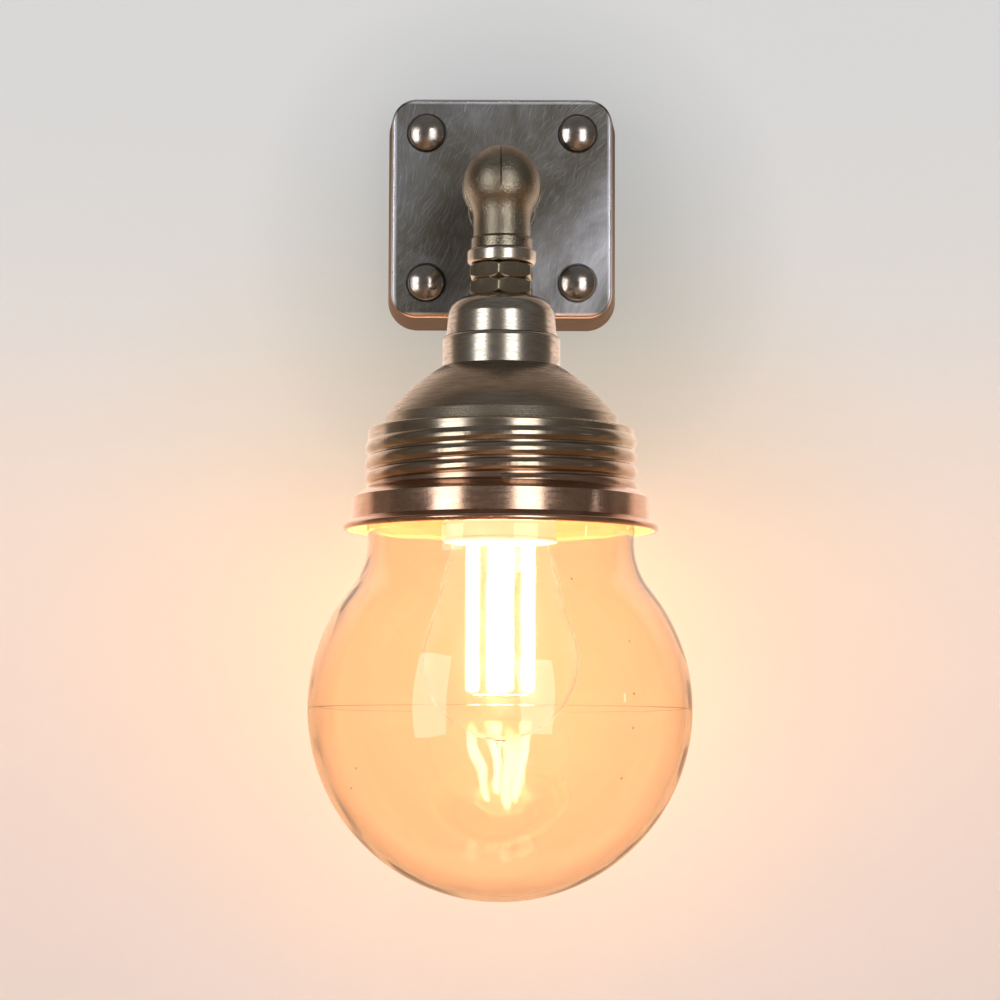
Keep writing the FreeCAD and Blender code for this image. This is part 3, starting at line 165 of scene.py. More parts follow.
def make_strokes():
    """Straight sanding strokes across X and Z: a height, and a mask of the strokes that take a painted
    highlight.
    """
    tree, given, out = effect(
        "sanding_strokes",
        [
            ("Vector", "Vector", None), ("Turn", "Float", 0.9), ("Width", "Float", 3000.0),
            ("Length", "Float", 60.0), ("Sway", "Float", 0.0015),
        ],
        [("Height", "Float"), ("Shine", "Float")],
    )
    sway = add(tree, "TexNoise", {"Vector": given["Vector"], "Scale": 28.0, "Detail": 1.0})
    sway = add(tree, "VectorMath", {0: sway.outputs["Color"], 1: (0.5, 0.5, 0.5)}, operation="SUBTRACT")
    sway = add(tree, "VectorMath", {0: sway.outputs[0], "Scale": given["Sway"]}, operation="SCALE")
    moved = add(tree, "VectorMath", {0: given["Vector"], 1: sway.outputs[0]}, operation="ADD")
    axes = add(tree, "VectorRotate", {
        "Vector": moved.outputs[0], "Axis": (0.0, 1.0, 0.0), "Angle": given["Turn"],
    }, rotation_type="AXIS_ANGLE")
    split = add(tree, "SeparateXYZ", {0: axes.outputs[0]})
    stretched = add(tree, "CombineXYZ", {
        "X": sums(tree, "MULTIPLY", split.outputs["X"], given["Length"]),
        "Y": split.outputs["Y"],
        "Z": sums(tree, "MULTIPLY", split.outputs["Z"], given["Width"]),
    })
    lines = add(tree, "TexNoise", {
        "Vector": stretched.outputs[0], "Scale": 1.0, "Detail": 3.0, "Roughness": 0.7,
    })
    tree.links.new(lines.outputs["Fac"], out["Height"])
    tree.links.new(spread(tree, lines.outputs["Fac"], 0.56, 0.74), out["Shine"])
    return tree


clouds = make_clouds()
strokes = make_strokes()

plate_low, plate_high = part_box("back_plate")
plate_half = plate_high.x
PLATE_TONE = (0.155, 0.157, 0.167)
PLATE_WAX_AND_SHADE = (0.085, 0.078, 0.060)
PLATE_PAINTED_SHEEN = (0.66, 0.67, 0.74)
PLATE_WARM_REFLECTION = (0.98, 0.62, 0.42)
PLATE_CAST = (0.13, 0.105, 0.085)
# where each zone fades in, in metres: inwards from the outline, back from the face, up from below
EDGE_INWARDS = (0.0042, 0.0028)
EDGE_BACK = (0.0016, 0.0009)
SIDES_BACK = (0.0012, 0.0020)
WARM_UP = (0.008, 0.003)


def make_plate_finish():
    """Cloudy sanded nickel with crossing strokes, a buffed edge and sides that were left alone, with
    painted sheen, shade and highlights in its colour.
    """
    made, tree, shader, place = finish(
        "sanded_plate", PLATE_TONE, 0.34, 1.0, **{"Specular Tint": (0.50, 0.42, 0.36, 1.0)}
    )
    wax = use(tree, clouds, Vector=place, Scale=24.0, Share=0.46)["Mask"]
    fine_wax = use(tree, clouds, Vector=place, Scale=160.0, Share=0.40)["Mask"]
    rising = use(tree, strokes, Vector=place, Turn=0.85, Width=4200.0, Length=90.0, Sway=0.022)
    steep = use(tree, strokes, Vector=place, Turn=1.40, Width=3600.0, Length=80.0, Sway=0.016)
    falling = use(tree, strokes, Vector=place, Turn=-0.4, Width=5200.0, Length=130.0, Sway=0.020)
    sheen_patches = use(tree, clouds, Vector=place, Scale=17.0, Share=0.40)["Mask"]
    # painted highlight: the brighter strokes, in patches, are painted a pale bluish sheen
    shine = sums(tree, "MULTIPLY", rising["Shine"], sheen_patches)
    shine = sums(tree, "MAXIMUM", shine, sums(tree, "MULTIPLY", steep["Shine"], 0.45))
    tone = tinted(tree, sums(tree, "MULTIPLY", wax, 0.85), (*PLATE_TONE, 1.0), (*PLATE_WAX_AND_SHADE, 1.0))
    tone = tinted(tree, sums(tree, "MULTIPLY", fine_wax, 0.22), tone, (*PLATE_WAX_AND_SHADE, 1.0))
    tone = tinted(tree, sums(tree, "MULTIPLY", shine, 0.75), tone, (*PLATE_PAINTED_SHEEN, 1.0))
    split = add(tree, "SeparateXYZ", {0: place})
    # painted light: a painted sheen on the outer parts, most of all the lower right, and a painted
    # shade in the middle round the arm
    painted_sheen = sums(tree, "SUBTRACT", split.outputs["X"], split.outputs["Z"])
    painted_sheen = spread(tree, painted_sheen, plate_half * 0.35, plate_half * 1.3, 0.0, 0.70)
    on_face = add(tree, "VectorMath", {0: place, 1: (1.0, 0.0, 1.0)}, operation="MULTIPLY")
    from_middle = add(tree, "VectorMath", {0: on_face.outputs[0]}, operation="LENGTH").outputs["Value"]
    painted_middle_shade = spread(tree, from_middle, plate_half * 0.35, plate_half * 0.85, 0.35, 0.0)
    tone = tinted(tree, sums(tree, "MULTIPLY", painted_sheen, sheen_patches), tone, (*PLATE_PAINTED_SHEEN, 1.0))
    tone = tinted(tree, painted_middle_shade, tone, (*PLATE_WAX_AND_SHADE, 1.0))
    side = sums(tree, "ABSOLUTE", split.outputs["X"])
    up = sums(tree, "ABSOLUTE", split.outputs["Z"])
    edge = sums(tree, "MAXIMUM", side, up)
    edge = spread(tree, edge, *(plate_half - inwards for inwards in EDGE_INWARDS))
    at_front = spread(tree, split.outputs["Y"], *(plate_low.y + back for back in EDGE_BACK))
    edge = sums(tree, "MULTIPLY", edge, at_front)
    # the sides are left as they were cast
    side_face = spread(tree, split.outputs["Y"], *(plate_low.y + back for back in SIDES_BACK))
    tone = tinted(tree, side_face, tone, (*PLATE_CAST, 1.0))
    # painted highlight along the buffed front edge, warm at the lower edge as a painted reflection of
    # the bulb's light
    below = spread(tree, split.outputs["Z"], *(rise - plate_half for rise in WARM_UP))
    wear_and_sheen = tinted(tree, below, (*PLATE_PAINTED_SHEEN, 1.0), (*PLATE_WARM_REFLECTION, 1.0))
    tone = tinted(tree, sums(tree, "MULTIPLY", edge, 0.85), tone, wear_and_sheen)
    rough = spread(tree, wax, 0.0, 1.0, 0.33, 0.43)
    rough = sums(tree, "SUBTRACT", rough, sums(tree, "MULTIPLY", edge, 0.12))
    height = sums(tree, "ADD", rising["Height"], sums(tree, "ADD", steep["Height"], falling["Height"]))
    feed(tree, shader, Base_Color=tone, Roughness=rough, Normal=raised(tree, height, 0.00006))
    return made


dress(make_plate_finish(), "back_plate")


# Plate seal: a flat black rubber frame that keeps rain out between the plate and the wall. It is
# punched from sheet and lies in a rebate of the plate's rim.

def make_skin():
    """A fine bumpy skin, as cast metal and moulded rubber have it: only a height."""
    tree, given, out = effect(
        "fine_skin", [("Vector", "Vector", None), ("Grain", "Float", 1500.0)], [("Height", "Float")],
    )
    fine = add(tree, "TexNoise", {
        "Vector": given["Vector"], "Scale": given["Grain"], "Detail": 3.0, "Roughness": 0.6,
    })
    pits = add(tree, "TexVoronoi", {
        "Vector": given["Vector"], "Scale": sums(tree, "MULTIPLY", given["Grain"], 0.6),
    })
    both = sums(tree, "ADD", fine.outputs["Fac"], sums(tree, "MULTIPLY", pits.outputs["Distance"], 0.5))
    tree.links.new(both, out["Height"])
    return tree


skin = make_skin()


def moulded(name, colour, dusty, roughness, grain=1500.0, depth=0.00002, **inputs):
    """A moulded plastic or rubber finish with a fine skin and a little uneven colour."""
    made, tree, shader, place = finish(name, colour, roughness, **inputs)
    dust = use(tree, clouds, Vector=place, Scale=90.0, Share=0.42)["Mask"]
    tone = tinted(tree, sums(tree, "MULTIPLY", dust, 0.5), (*colour, 1.0), (*dusty, 1.0))
    height = use(tree, skin, Vector=place, Grain=grain)["Height"]
    rough = spread(tree, dust, 0.0, 1.0, roughness, min(roughness + 0.12, 1.0))
    feed(tree, shader, Base_Color=tone, Roughness=rough, Normal=raised(tree, height, depth))
    return made


black_rubber = moulded("black_rubber", (0.022, 0.022, 0.023), (0.05, 0.048, 0.045), 0.62)
dress(black_rubber, "plate_seal")


# Fixing screws: zinc-plated steel, countersunk, with a plain shank in the plate and a coarse
# rolled thread in the wall.

def plated(name, colour, wear_and_sheen, roughness, scale=120.0):
    """A plated or bare metal part that isn't polished, with a cloudy, slightly worn surface."""
    made, tree, shader, place = finish(name, colour, roughness, 1.0)
    wear = use(tree, clouds, Vector=place, Scale=scale, Share=0.44)["Mask"]
    tone = tinted(tree, wear, (*colour, 1.0), (*wear_and_sheen, 1.0))
    height = use(tree, skin, Vector=place, Grain=2200.0)["Height"]
    rough = spread(tree, wear, 0.0, 1.0, roughness, roughness + 0.14)
    feed(tree, shader, Base_Color=tone, Roughness=rough, Normal=raised(tree, height, 0.000012))
    return made


def joined(pieces, name):
    """Joins objects into one with that name."""
    bpy.ops.object.select_all(action="DESELECT")
    for piece in pieces:
        piece.select_set(True)
    bpy.context.view_layer.objects.active = pieces[0]
    if len(pieces) > 1:
        bpy.ops.object.join()
    pieces[0].name = name
    pieces[0].select_set(False)
    return pieces[0]


def settled(piece, *finishes, smooth=30.0):
    """Puts a piece's place into its mesh, smooths it up to an angle and gives it its finishes."""
    bpy.ops.object.select_all(action="DESELECT")
    piece.select_set(True)
    bpy.context.view_layer.objects.active = piece
    bpy.ops.object.transform_apply(location=True, rotation=True, scale=True)
    bpy.ops.object.shade_smooth_by_angle(angle=math.radians(smooth))
    piece.data.materials.clear()
    for made in finishes:
        piece.data.materials.append(made)
    piece.select_set(False)
    return piece


def applied(piece, kind, **settings):
    """Adds a modifier and applies it."""
    bpy.context.view_layer.objects.active = piece
    made = piece.modifiers.new(kind.lower(), kind)
    for key, value in settings.items():
        setattr(made, key, value)
    bpy.ops.object.modifier_apply(modifier=made.name)


def wound(wire, radius, pitch, turns, sides, steps=32):
    """A helix round Z from the origin up, of a wire with that many sides."""
    bpy.ops.object.select_all(action="DESELECT")
    bpy.ops.mesh.primitive_circle_add(
        vertices=sides, radius=wire, fill_type="NGON", location=(radius, 0.0, 0.0),
        rotation=(math.pi / 2, 0.0, 0.0),
    )
    coil = bpy.context.object
    bpy.ops.object.transform_apply(location=True, rotation=True, scale=True)
    bpy.ops.object.origin_set(type="ORIGIN_CURSOR")
    applied(
        coil, "SCREW", axis="Z", angle=2 * math.pi, iterations=turns, steps=steps, render_steps=steps,
        screw_offset=pitch, use_merge_vertices=False,
    )
    return coil


SCREW_SPACING = 0.061
SHANK_RADIUS = 0.0024
THREAD_CREST = 0.00042
THREAD_PITCH = 0.0014
THREAD_TURNS = 15
THREAD_START = 0.0040


def screw_threads():
    """The coarse thread that each screw has on the length that goes into the wall."""
    threads = []
    for across in (-1, 1):
        for up in (-1, 1):
            thread = wound(THREAD_CREST, SHANK_RADIUS, THREAD_PITCH, THREAD_TURNS, 4, 24)
            thread.rotation_euler.x = -math.pi / 2
            thread.location = (across * SCREW_SPACING / 2, THREAD_START, up * SCREW_SPACING / 2)
            threads.append(thread)
    threads = settled(joined(threads, "screw_threads"), zinc_steel)
    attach(threads, "wall_bracket")


zinc_steel = plated("zinc_steel", (0.56, 0.57, 0.58), (0.40, 0.39, 0.36), 0.30)
dress(zinc_steel, "fixing_screws")
screw_threads()


# Domed caps: turned and polished, each screwed on to the head of a fixing screw until it lies in
# its round seat in the plate. Each is darker round its foot, in the seat.

CAP_TONE = (0.40, 0.37, 0.345)
CAP_DARK = (0.13, 0.105, 0.08)
CAP_FOOT_BACK = (0.0036, 0.0060)


def make_cap_finish():
    """Polished metal, darker round the foot of each cap."""
    made, tree, shader, place = finish("polished_caps", CAP_TONE, 0.17, 1.0)
    haze = use(tree, clouds, Vector=place, Scale=210.0, Share=0.42)["Mask"]
    depth = add(tree, "SeparateXYZ", {0: place}).outputs["Y"]
    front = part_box("screw_caps")[0].y
    foot = spread(tree, depth, *(front + back for back in CAP_FOOT_BACK))
    tone = tinted(tree, sums(tree, "MULTIPLY", haze, 0.35), (*CAP_TONE, 1.0), (*CAP_DARK, 1.0))
    tone = tinted(tree, foot, tone, (*CAP_DARK, 1.0))
    rough = spread(tree, haze, 0.0, 1.0, 0.14, 0.26)
    height = use(tree, skin, Vector=place, Grain=500.0)["Height"]
    feed(tree, shader, Base_Color=tone, Roughness=rough, Normal=raised(tree, height, 0.00003))
    return made


dress(make_cap_finish(), "screw_caps")


# Elbow arm: one hollow casting with a ball at the bend. It is ground round by hand, so that a
# fine grain and the faint line of the mould stay on its front.

ARM_TONE = (0.36, 0.325, 0.265)
ARM_WAX = (0.11, 0.09, 0.055)
# the mould's line on the ball: how far left of the middle, how wide, how far back and how far down
SEAM_LEFT = 0.0004
SEAM_WIDTH = (0.00012, 0.00035)
SEAM_BACK = (-0.0925, -0.0885)
SEAM_DOWN = (-0.006, -0.001)
COLLAR_LEVEL = (-0.0216, -0.0226)


def make_arm_finish():
    """Cast metal with a fine grain, grinding lines, blotches of wax and the mould's line."""
    made, tree, shader, place = finish("cast_arm", ARM_TONE, 0.24, 1.0)
    wax = use(tree, clouds, Vector=place, Scale=60.0, Share=0.46)["Mask"]
    grinding = use(tree, strokes, Vector=place, Turn=0.1, Width=1500.0, Length=130.0, Sway=0.004)
    grain = use(tree, skin, Vector=place, Grain=1900.0)["Height"]
    split = add(tree, "SeparateXYZ", {0: place})
    from_seam = sums(tree, "ABSOLUTE", sums(tree, "ADD", split.outputs["X"], SEAM_LEFT))
    seam = spread(tree, from_seam, *SEAM_WIDTH, 1.0, 0.0)
    in_front = spread(tree, split.outputs["Y"], *SEAM_BACK, 1.0, 0.0)
    at_ball = spread(tree, split.outputs["Z"], *SEAM_DOWN)
    seam = sums(tree, "MULTIPLY", sums(tree, "MULTIPLY", seam, in_front), at_ball)
    broken = use(tree, clouds, Vector=place, Scale=260.0, Share=0.56)["Mask"]
    seam = sums(tree, "MULTIPLY", seam, broken)
    tone = tinted(tree, sums(tree, "MULTIPLY", wax, 0.6), (*ARM_TONE, 1.0), (*ARM_WAX, 1.0))
    tone = tinted(tree, sums(tree, "MULTIPLY", seam, 0.8), tone, (*ARM_WAX, 1.0))
    height = sums(tree, "ADD", grain, sums(tree, "MULTIPLY", grinding["Height"], 0.5))
    height = sums(tree, "SUBTRACT", height, sums(tree, "MULTIPLY", seam, 3.0))
    rough = spread(tree, wax, 0.0, 1.0, 0.22, 0.32)
    # the collar at the foot of the leg is turned and polished
    rough = sums(tree, "SUBTRACT", rough, spread(tree, split.outputs["Z"], *COLLAR_LEVEL, 0.0, 0.13))
    feed(tree, shader, Base_Color=tone, Roughness=rough, Normal=raised(tree, height, 0.00013))
    return made


dress(make_arm_finish(), "elbow_arm")


# Washer and nut inside the plate: they clamp the arm's spigot to the plate's face.

brass = plated("plain_brass", (0.66, 0.50, 0.25), (0.42, 0.29, 0.13), 0.27)
dress(zinc_steel, "arm_washer")
dress(brass, "arm_nut")


# End ring, lock nuts and nipple: turned from bar, the visible ones nickel-plated and polished.
# The nuts hold the lamp head on the nipple and stop it from turning.

ring_low, ring_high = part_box("end_ring")
lamp_axis = Vector((0.0, (ring_low.y + ring_high.y) / 2, 0.0))


def make_turning():
    """Lines that run round an upright axis through the origin of the vector that it is given:
    a height of fine lines and a mask of broader bands."""
    tree, given, out = effect(
        "turning_lines",
        [
            ("Vector", "Vector", None), ("Lines", "Float", 2500.0), ("Bands", "Float", 350.0),
            ("Around", "Float", 4.0),
        ],
        [("Height", "Float"), ("Band", "Float")],
    )
    split = add(tree, "SeparateXYZ", {0: given["Vector"]})
    flat = add(tree, "CombineXYZ", {"X": split.outputs["X"], "Y": split.outputs["Y"]})
    radius = add(tree, "VectorMath", {0: flat.outputs[0]}, operation="LENGTH").outputs["Value"]
    way = add(tree, "VectorMath", {0: flat.outputs[0]}, operation="NORMALIZE").outputs[0]
    around = add(tree, "VectorMath", {0: way, "Scale": given["Around"]}, operation="SCALE").outputs[0]
    along = sums(tree, "SUBTRACT", radius, split.outputs["Z"])

    def lines(count, detail):
        """Noise that changes slowly round the axis and that many times a metre along it."""
        spot = add(tree, "SeparateXYZ", {0: around})
        where = add(tree, "CombineXYZ", {
            "X": spot.outputs["X"], "Y": spot.outputs["Y"], "Z": sums(tree, "MULTIPLY", along, count),
        })
        noise = add(tree, "TexNoise", {
            "Vector": where.outputs[0], "Scale": 1.0, "Detail": detail, "Roughness": 0.6,
        })
        return noise.outputs["Fac"]

    tree.links.new(lines(given["Lines"], 2.0), out["Height"])
    tree.links.new(spread(tree, lines(given["Bands"], 3.0), 0.38, 0.66), out["Band"])
    return tree


turning = make_turning()


def turned(name, colour, dark, roughness, lines=2500.0, depth=0.00002, bands=350.0, share=0.5):
    """A metal finish turned or brushed round the lamp's axis, so that lights spread along it."""
    made, tree, shader, place = finish(name, colour, roughness, 1.0, Anisotropic=0.7)
    along = add(tree, "Tangent", direction_type="RADIAL", axis="Z").outputs[0]
    tree.links.new(along, shader.inputs["Tangent"])
    centred = add(tree, "VectorMath", {0: place, 1: tuple(lamp_axis)}, operation="SUBTRACT")
    centred = centred.outputs[0]
    marks = use(tree, turning, Vector=centred, Lines=lines, Bands=bands)
    wax = use(tree, clouds, Vector=place, Scale=55.0, Share=0.44)["Mask"]
    mark = sums(tree, "MULTIPLY", marks["Band"], share)
    tone = tinted(tree, mark, (*colour, 1.0), (*dark, 1.0))
    tone = tinted(tree, sums(tree, "MULTIPLY", wax, share / 3), tone, (*dark, 1.0))
    rough = spread(tree, marks["Band"], 0.0, 1.0, roughness - 0.03, roughness + 0.03)
    feed(tree, shader, Base_Color=tone, Roughness=rough, Normal=raised(tree, marks["Height"], depth))
    return made, tree, shader, centred


RING_TONE = (0.56, 0.51, 0.45)
RING_WAX = (0.20, 0.16, 0.11)
polished_ring = turned("polished_rings", RING_TONE, RING_WAX, 0.20, 1800.0, 0.000006, 260.0, 0.35)[0]
polished_nut = plated("polished_nuts", (0.50, 0.455, 0.38), (0.30, 0.26, 0.19), 0.07, 150.0)
dress(polished_ring, "end_ring")
dress(brass, "nipple")


def cylinder(place, radius, height, sides):
    """An upright cylinder, selected and active."""
    bpy.ops.object.select_all(action="DESELECT")
    bpy.ops.mesh.primitive_cylinder_add(vertices=sides, radius=radius, depth=height, location=place)
    return bpy.context.object


def drawn_in(piece, upwards, reach, share):
    """Extrudes the top or bottom face by a reach and scales it, in edit mode."""
    bpy.ops.object.mode_set(mode="EDIT")
    bpy.ops.mesh.select_mode(type="FACE")
    bpy.ops.mesh.select_all(action="DESELECT")
    bpy.ops.object.mode_set(mode="OBJECT")
    for face in piece.data.polygons:
        face.select = face.normal.z * upwards > 0.9
    bpy.ops.object.mode_set(mode="EDIT")
    bpy.ops.mesh.extrude_region_move(TRANSFORM_OT_translate={"value": (0.0, 0.0, reach * upwards)})
    bpy.ops.transform.resize(value=(share, share, 1.0))
    bpy.ops.object.mode_set(mode="OBJECT")


def cut(piece, tool, operation):
    """Joins, cuts or crosses a piece with a tool, which is used up."""
    applied(piece, "BOOLEAN", object=tool, operation=operation, solver="EXACT")
    bpy.data.objects.remove(tool)


NUT_TURN = math.radians(5.0)
NUT_BORE = 0.0062
NUT_BEVEL = 0.0112
NUT_FALL = 0.0015
NUT_OVERLAP = 0.001
CORNER_BREAK = 0.00032


def lock_nut(name):
    """A hexagon bevelled round both ends, with softly broken corners."""
    low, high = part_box(name)
    middle = (low + high) / 2
    height = high.z - low.z
    corner = (high.y - low.y) / (2 * math.cos(NUT_TURN))
    nut = cylinder(middle, corner, height, 6)
    nut.rotation_euler.z = -NUT_TURN
    bpy.ops.object.transform_apply(location=False, rotation=True, scale=False)
    reach = corner + NUT_OVERLAP
    drop = NUT_FALL * (reach - NUT_BEVEL) / (corner - NUT_BEVEL)
    barrel = cylinder(middle, reach, height - 2 * drop, 96)
    for upwards in (1, -1):
        drawn_in(barrel, upwards, drop, NUT_BEVEL / reach)
    cut(nut, barrel, "INTERSECT")
    cut(nut, cylinder(middle, NUT_BORE, 2 * height, 48), "DIFFERENCE")
    applied(
        nut, "BEVEL", width=CORNER_BREAK, segments=3, limit_method="ANGLE",
        angle_limit=math.radians(18.0),
    )
    nut.name = name + "_polished"
    settled(nut, polished_nut, smooth=24.0)
    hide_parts(name)
    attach(nut, "wall_bracket")


lock_nut("lock_nut_upper")
lock_nut("lock_nut_lower")


# Cover: a domed cap on a short sleeve, both spun from sheet and brushed on the lathe. It hides
# the upper end of the lampholder.

COVER_TONE = (0.48, 0.44, 0.39)
COVER_WAX = (0.17, 0.135, 0.095)
brushed_cover = turned("brushed_cover", COVER_TONE, COVER_WAX, 0.19, 2300.0, 0.000008, 900.0, 0.45)[0]
dress(brushed_cover, "cover_cap", "cover_sleeve")


# Gallery: one piece of spun sheet, with a thread rolled into its collar, a smooth band and a
# flared rim. It is brushed while it turns. Towards the rim its colour holds a painted warm
# reflection of the lamp's light, the dome a painted shade, and the band a painted hazy reflection.

GALLERY_TONE = (0.40, 0.345, 0.280)
GALLERY_WAX_AND_SHADE = (0.17, 0.130, 0.085)
GALLERY_WARM_REFLECTION = (0.44, 0.245, 0.155)
GALLERY_PAINTED_HAZE = (0.62, 0.47, 0.40)
GALLERY_INSIDE = (0.46, 0.34, 0.19)
gallery_low, gallery_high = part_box("gallery")
# where each zone fades in, in metres: up from the rim, or down from the top
WARM_REFLECTION_UP = (0.030, 0.004)
BAND_UP = (0.014, 0.017)
DOME_DOWN = (0.026, 0.022)


def make_gallery_finish():
    """Brushed sheet: dull with a painted shade on the dome, buffed with painted reflections on the
    band, and pale inside.
    """
    made, tree, shader, centred = turned(
        "brushed_gallery", GALLERY_TONE, GALLERY_WAX_AND_SHADE, 0.16, 2100.0, 0.00001, 800.0, 0.5
    )
    level = add(tree, "SeparateXYZ", {0: centred}).outputs["Z"]
    # painted reflection: the lamp's warm light, mirrored towards the rim, painted into the colour
    warm_reflection = spread(tree, level, *(gallery_low.z + rise for rise in WARM_REFLECTION_UP))
    plain = shader.inputs["Base Color"].links[0].from_socket
    tone = tinted(tree, sums(tree, "MULTIPLY", warm_reflection, 0.95), plain, (*GALLERY_WARM_REFLECTION, 1.0))
    # the dome is left dull and given a painted shade, the thread is brighter and the band is buffed
    brushed = shader.inputs["Roughness"].links[0].from_socket
    band = spread(tree, level, *(gallery_low.z + rise for rise in BAND_UP), 0.05, 0.0)
    dome = spread(tree, level, *(gallery_high.z - drop for drop in DOME_DOWN), 0.0, 0.12)
    tone = tinted(tree, sums(tree, "MULTIPLY", dome, 1.2), tone, (*GALLERY_WAX_AND_SHADE, 1.0))
    rough = sums(tree, "ADD", sums(tree, "SUBTRACT", brushed, band), dome)
    # the band has small dull specks in patches, pale as a painted hazy reflection
    specks = use(tree, clouds, Vector=centred, Scale=900.0, Share=0.50)["Mask"]
    sheen_patches = use(tree, clouds, Vector=centred, Scale=60.0, Share=0.5)["Mask"]
    hazy_reflection = sums(tree, "MULTIPLY", specks, sheen_patches)
    hazy_reflection = sums(tree, "MULTIPLY", hazy_reflection, sums(tree, "MULTIPLY", band, 7.0))
    tone = tinted(tree, hazy_reflection, tone, (*GALLERY_PAINTED_HAZE, 1.0))
    rough = sums(tree, "ADD", rough, sums(tree, "MULTIPLY", hazy_reflection, 0.15))
    # the inside isn't polished: it has a pale dull plating that takes the bulb's light
    flat = add(tree, "VectorMath", {0: centred, 1: (1.0, 1.0, 0.0)}, operation="MULTIPLY").outputs[0]
    out = add(tree, "VectorMath", {0: flat}, operation="NORMALIZE").outputs[0]
    normal = add(tree, "NewGeometry").outputs["True Normal"]
    outwards = add(tree, "VectorMath", {0: normal, 1: out}, operation="DOT_PRODUCT").outputs["Value"]
    inside = spread(tree, outwards, -0.10, -0.25)
    tone = tinted(tree, inside, tone, (*GALLERY_INSIDE, 1.0))
    rough = sums(tree, "ADD", rough, sums(tree, "MULTIPLY", inside, 0.25))
    metal = spread(tree, inside, 0.0, 1.0, 1.0, 0.25)
    feed(tree, shader, Base_Color=tone, Roughness=rough, Metallic=metal)
    return made


dress(make_gallery_finish(), "gallery")


# Neck gasket: a flat ring of black rubber between the gallery's ledge and the lip of the glass.

dress(black_rubber, "neck_gasket")


# Globe: clear glass, blown in a mould, with the thread pressed into its neck. A faint seam runs
# round its widest part, and it has the odd seed and speck in it.

SPECK_TONE = (0.35, 0.25, 0.16, 1.0)


def make_glass(name, colour, edge, bending, speckled):
    """Clear glass, with a painted shade where it is seen edge on: wavy with specks, or else thin and
    even.
    """
    made, tree, shader, place = finish(
        name, colour, 0.0, **{"Transmission Weight": 1.0, "IOR": bending}
    )
    facing = add(tree, "LayerWeight", {"Blend": 0.5}).outputs["Facing"]
    rim = spread(tree, facing, 0.50, 0.95)
    body = tinted(tree, rim, (*colour, 1.0), (*edge, 1.0))
    if speckled:
        dots = add(tree, "TexVoronoi", {"Vector": place, "Scale": 75.0, "Randomness": 1.0}).outputs
        ragged = add(tree, "TexNoise", {"Vector": place, "Scale": 900.0}).outputs["Fac"]
        size = sums(tree, "ADD", dots["Distance"], sums(tree, "MULTIPLY", ragged, 0.05))
        # every cell has its own colour, which picks the cells that hold a speck
        draw = add(tree, "SeparateXYZ", {0: dots["Color"]}).outputs[0]
        chosen = sums(tree, "GREATER_THAN", draw, 0.55)
        speck = sums(tree, "MULTIPLY", spread(tree, size, 0.055, 0.075, 1.0, 0.0), chosen)
        tone = tinted(tree, speck, body, SPECK_TONE)
        wiped = use(tree, clouds, Vector=place, Scale=38.0, Share=0.42)["Mask"]
        waves = add(tree, "TexNoise", {"Vector": place, "Scale": 34.0, "Detail": 1.0}).outputs["Fac"]
        rough = spread(tree, wiped, 0.0, 1.0, 0.0, 0.025)
        feed(tree, shader, Base_Color=tone, Roughness=rough, Normal=raised(tree, waves, 0.0006))
    else:
        wavy = use(tree, clouds, Vector=place, Scale=60.0, Share=0.40)["Mask"]
        feed(tree, shader, Base_Color=body, Roughness=spread(tree, wavy, 0.0, 1.0, 0.155, 0.17))
    return made


# painted light: the globe's faint warm tint stands in for the bulb's warm light, and its brown edge
# colour is a painted shade
globe_glass = make_glass("globe_glass", (1.0, 0.965, 0.93), (0.62, 0.45, 0.32), 1.46, True)
bulb_envelope = make_glass("bulb_glass", (1.0, 0.99, 0.97), (1.0, 0.98, 0.95), 1.12, False)
dress(globe_glass, "globe")

SEAM_RADIUS = 0.00013


def mould_seam():
    """The hair-thin ridge where the halves of the mould met, round the globe's widest part."""
    low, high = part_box("globe")
    widest = (high.x - low.x) / 2
    bpy.ops.mesh.primitive_torus_add(
        major_radius=widest - SEAM_RADIUS, minor_radius=SEAM_RADIUS,
        major_segments=360, minor_segments=8, location=(0.0, lamp_axis.y, low.z + widest),
    )
    seam = bpy.context.object
    seam.name = "mould_seam"
    settled(seam, globe_glass, smooth=60.0)
    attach(seam, "globe")
    seam.visible_shadow = False


mould_seam()


# Lampholder: a moulded body on the nipple, with a clamp ring that holds the gallery, an insert
# with two brass terminals and sprung plungers, a slotted bayonet sleeve, and a long white skirt.

white_moulding = moulded("white_moulding", (0.80, 0.79, 0.75), (0.70, 0.67, 0.60), 0.42)
skirt_moulding = moulded("skirt_moulding", (0.86, 0.82, 0.62), (0.80, 0.74, 0.54), 0.38)
black_moulding = moulded("black_moulding", (0.03, 0.03, 0.032), (0.07, 0.065, 0.06), 0.40)
spring_steel = plated("spring_steel", (0.50, 0.50, 0.50), (0.36, 0.34, 0.31), 0.25, 400.0)
dress(white_moulding, "holder_body", "clamp_ring", "holder_insert", "sleeve_retainer")
dress(skirt_moulding, "holder_skirt")
dress(brass, "holder_terminals", "plungers", "bayonet_sleeve")
dress(zinc_steel, "terminal_screws")

SPRING_WIRE = 0.00025
SPRING_TURNS = 4


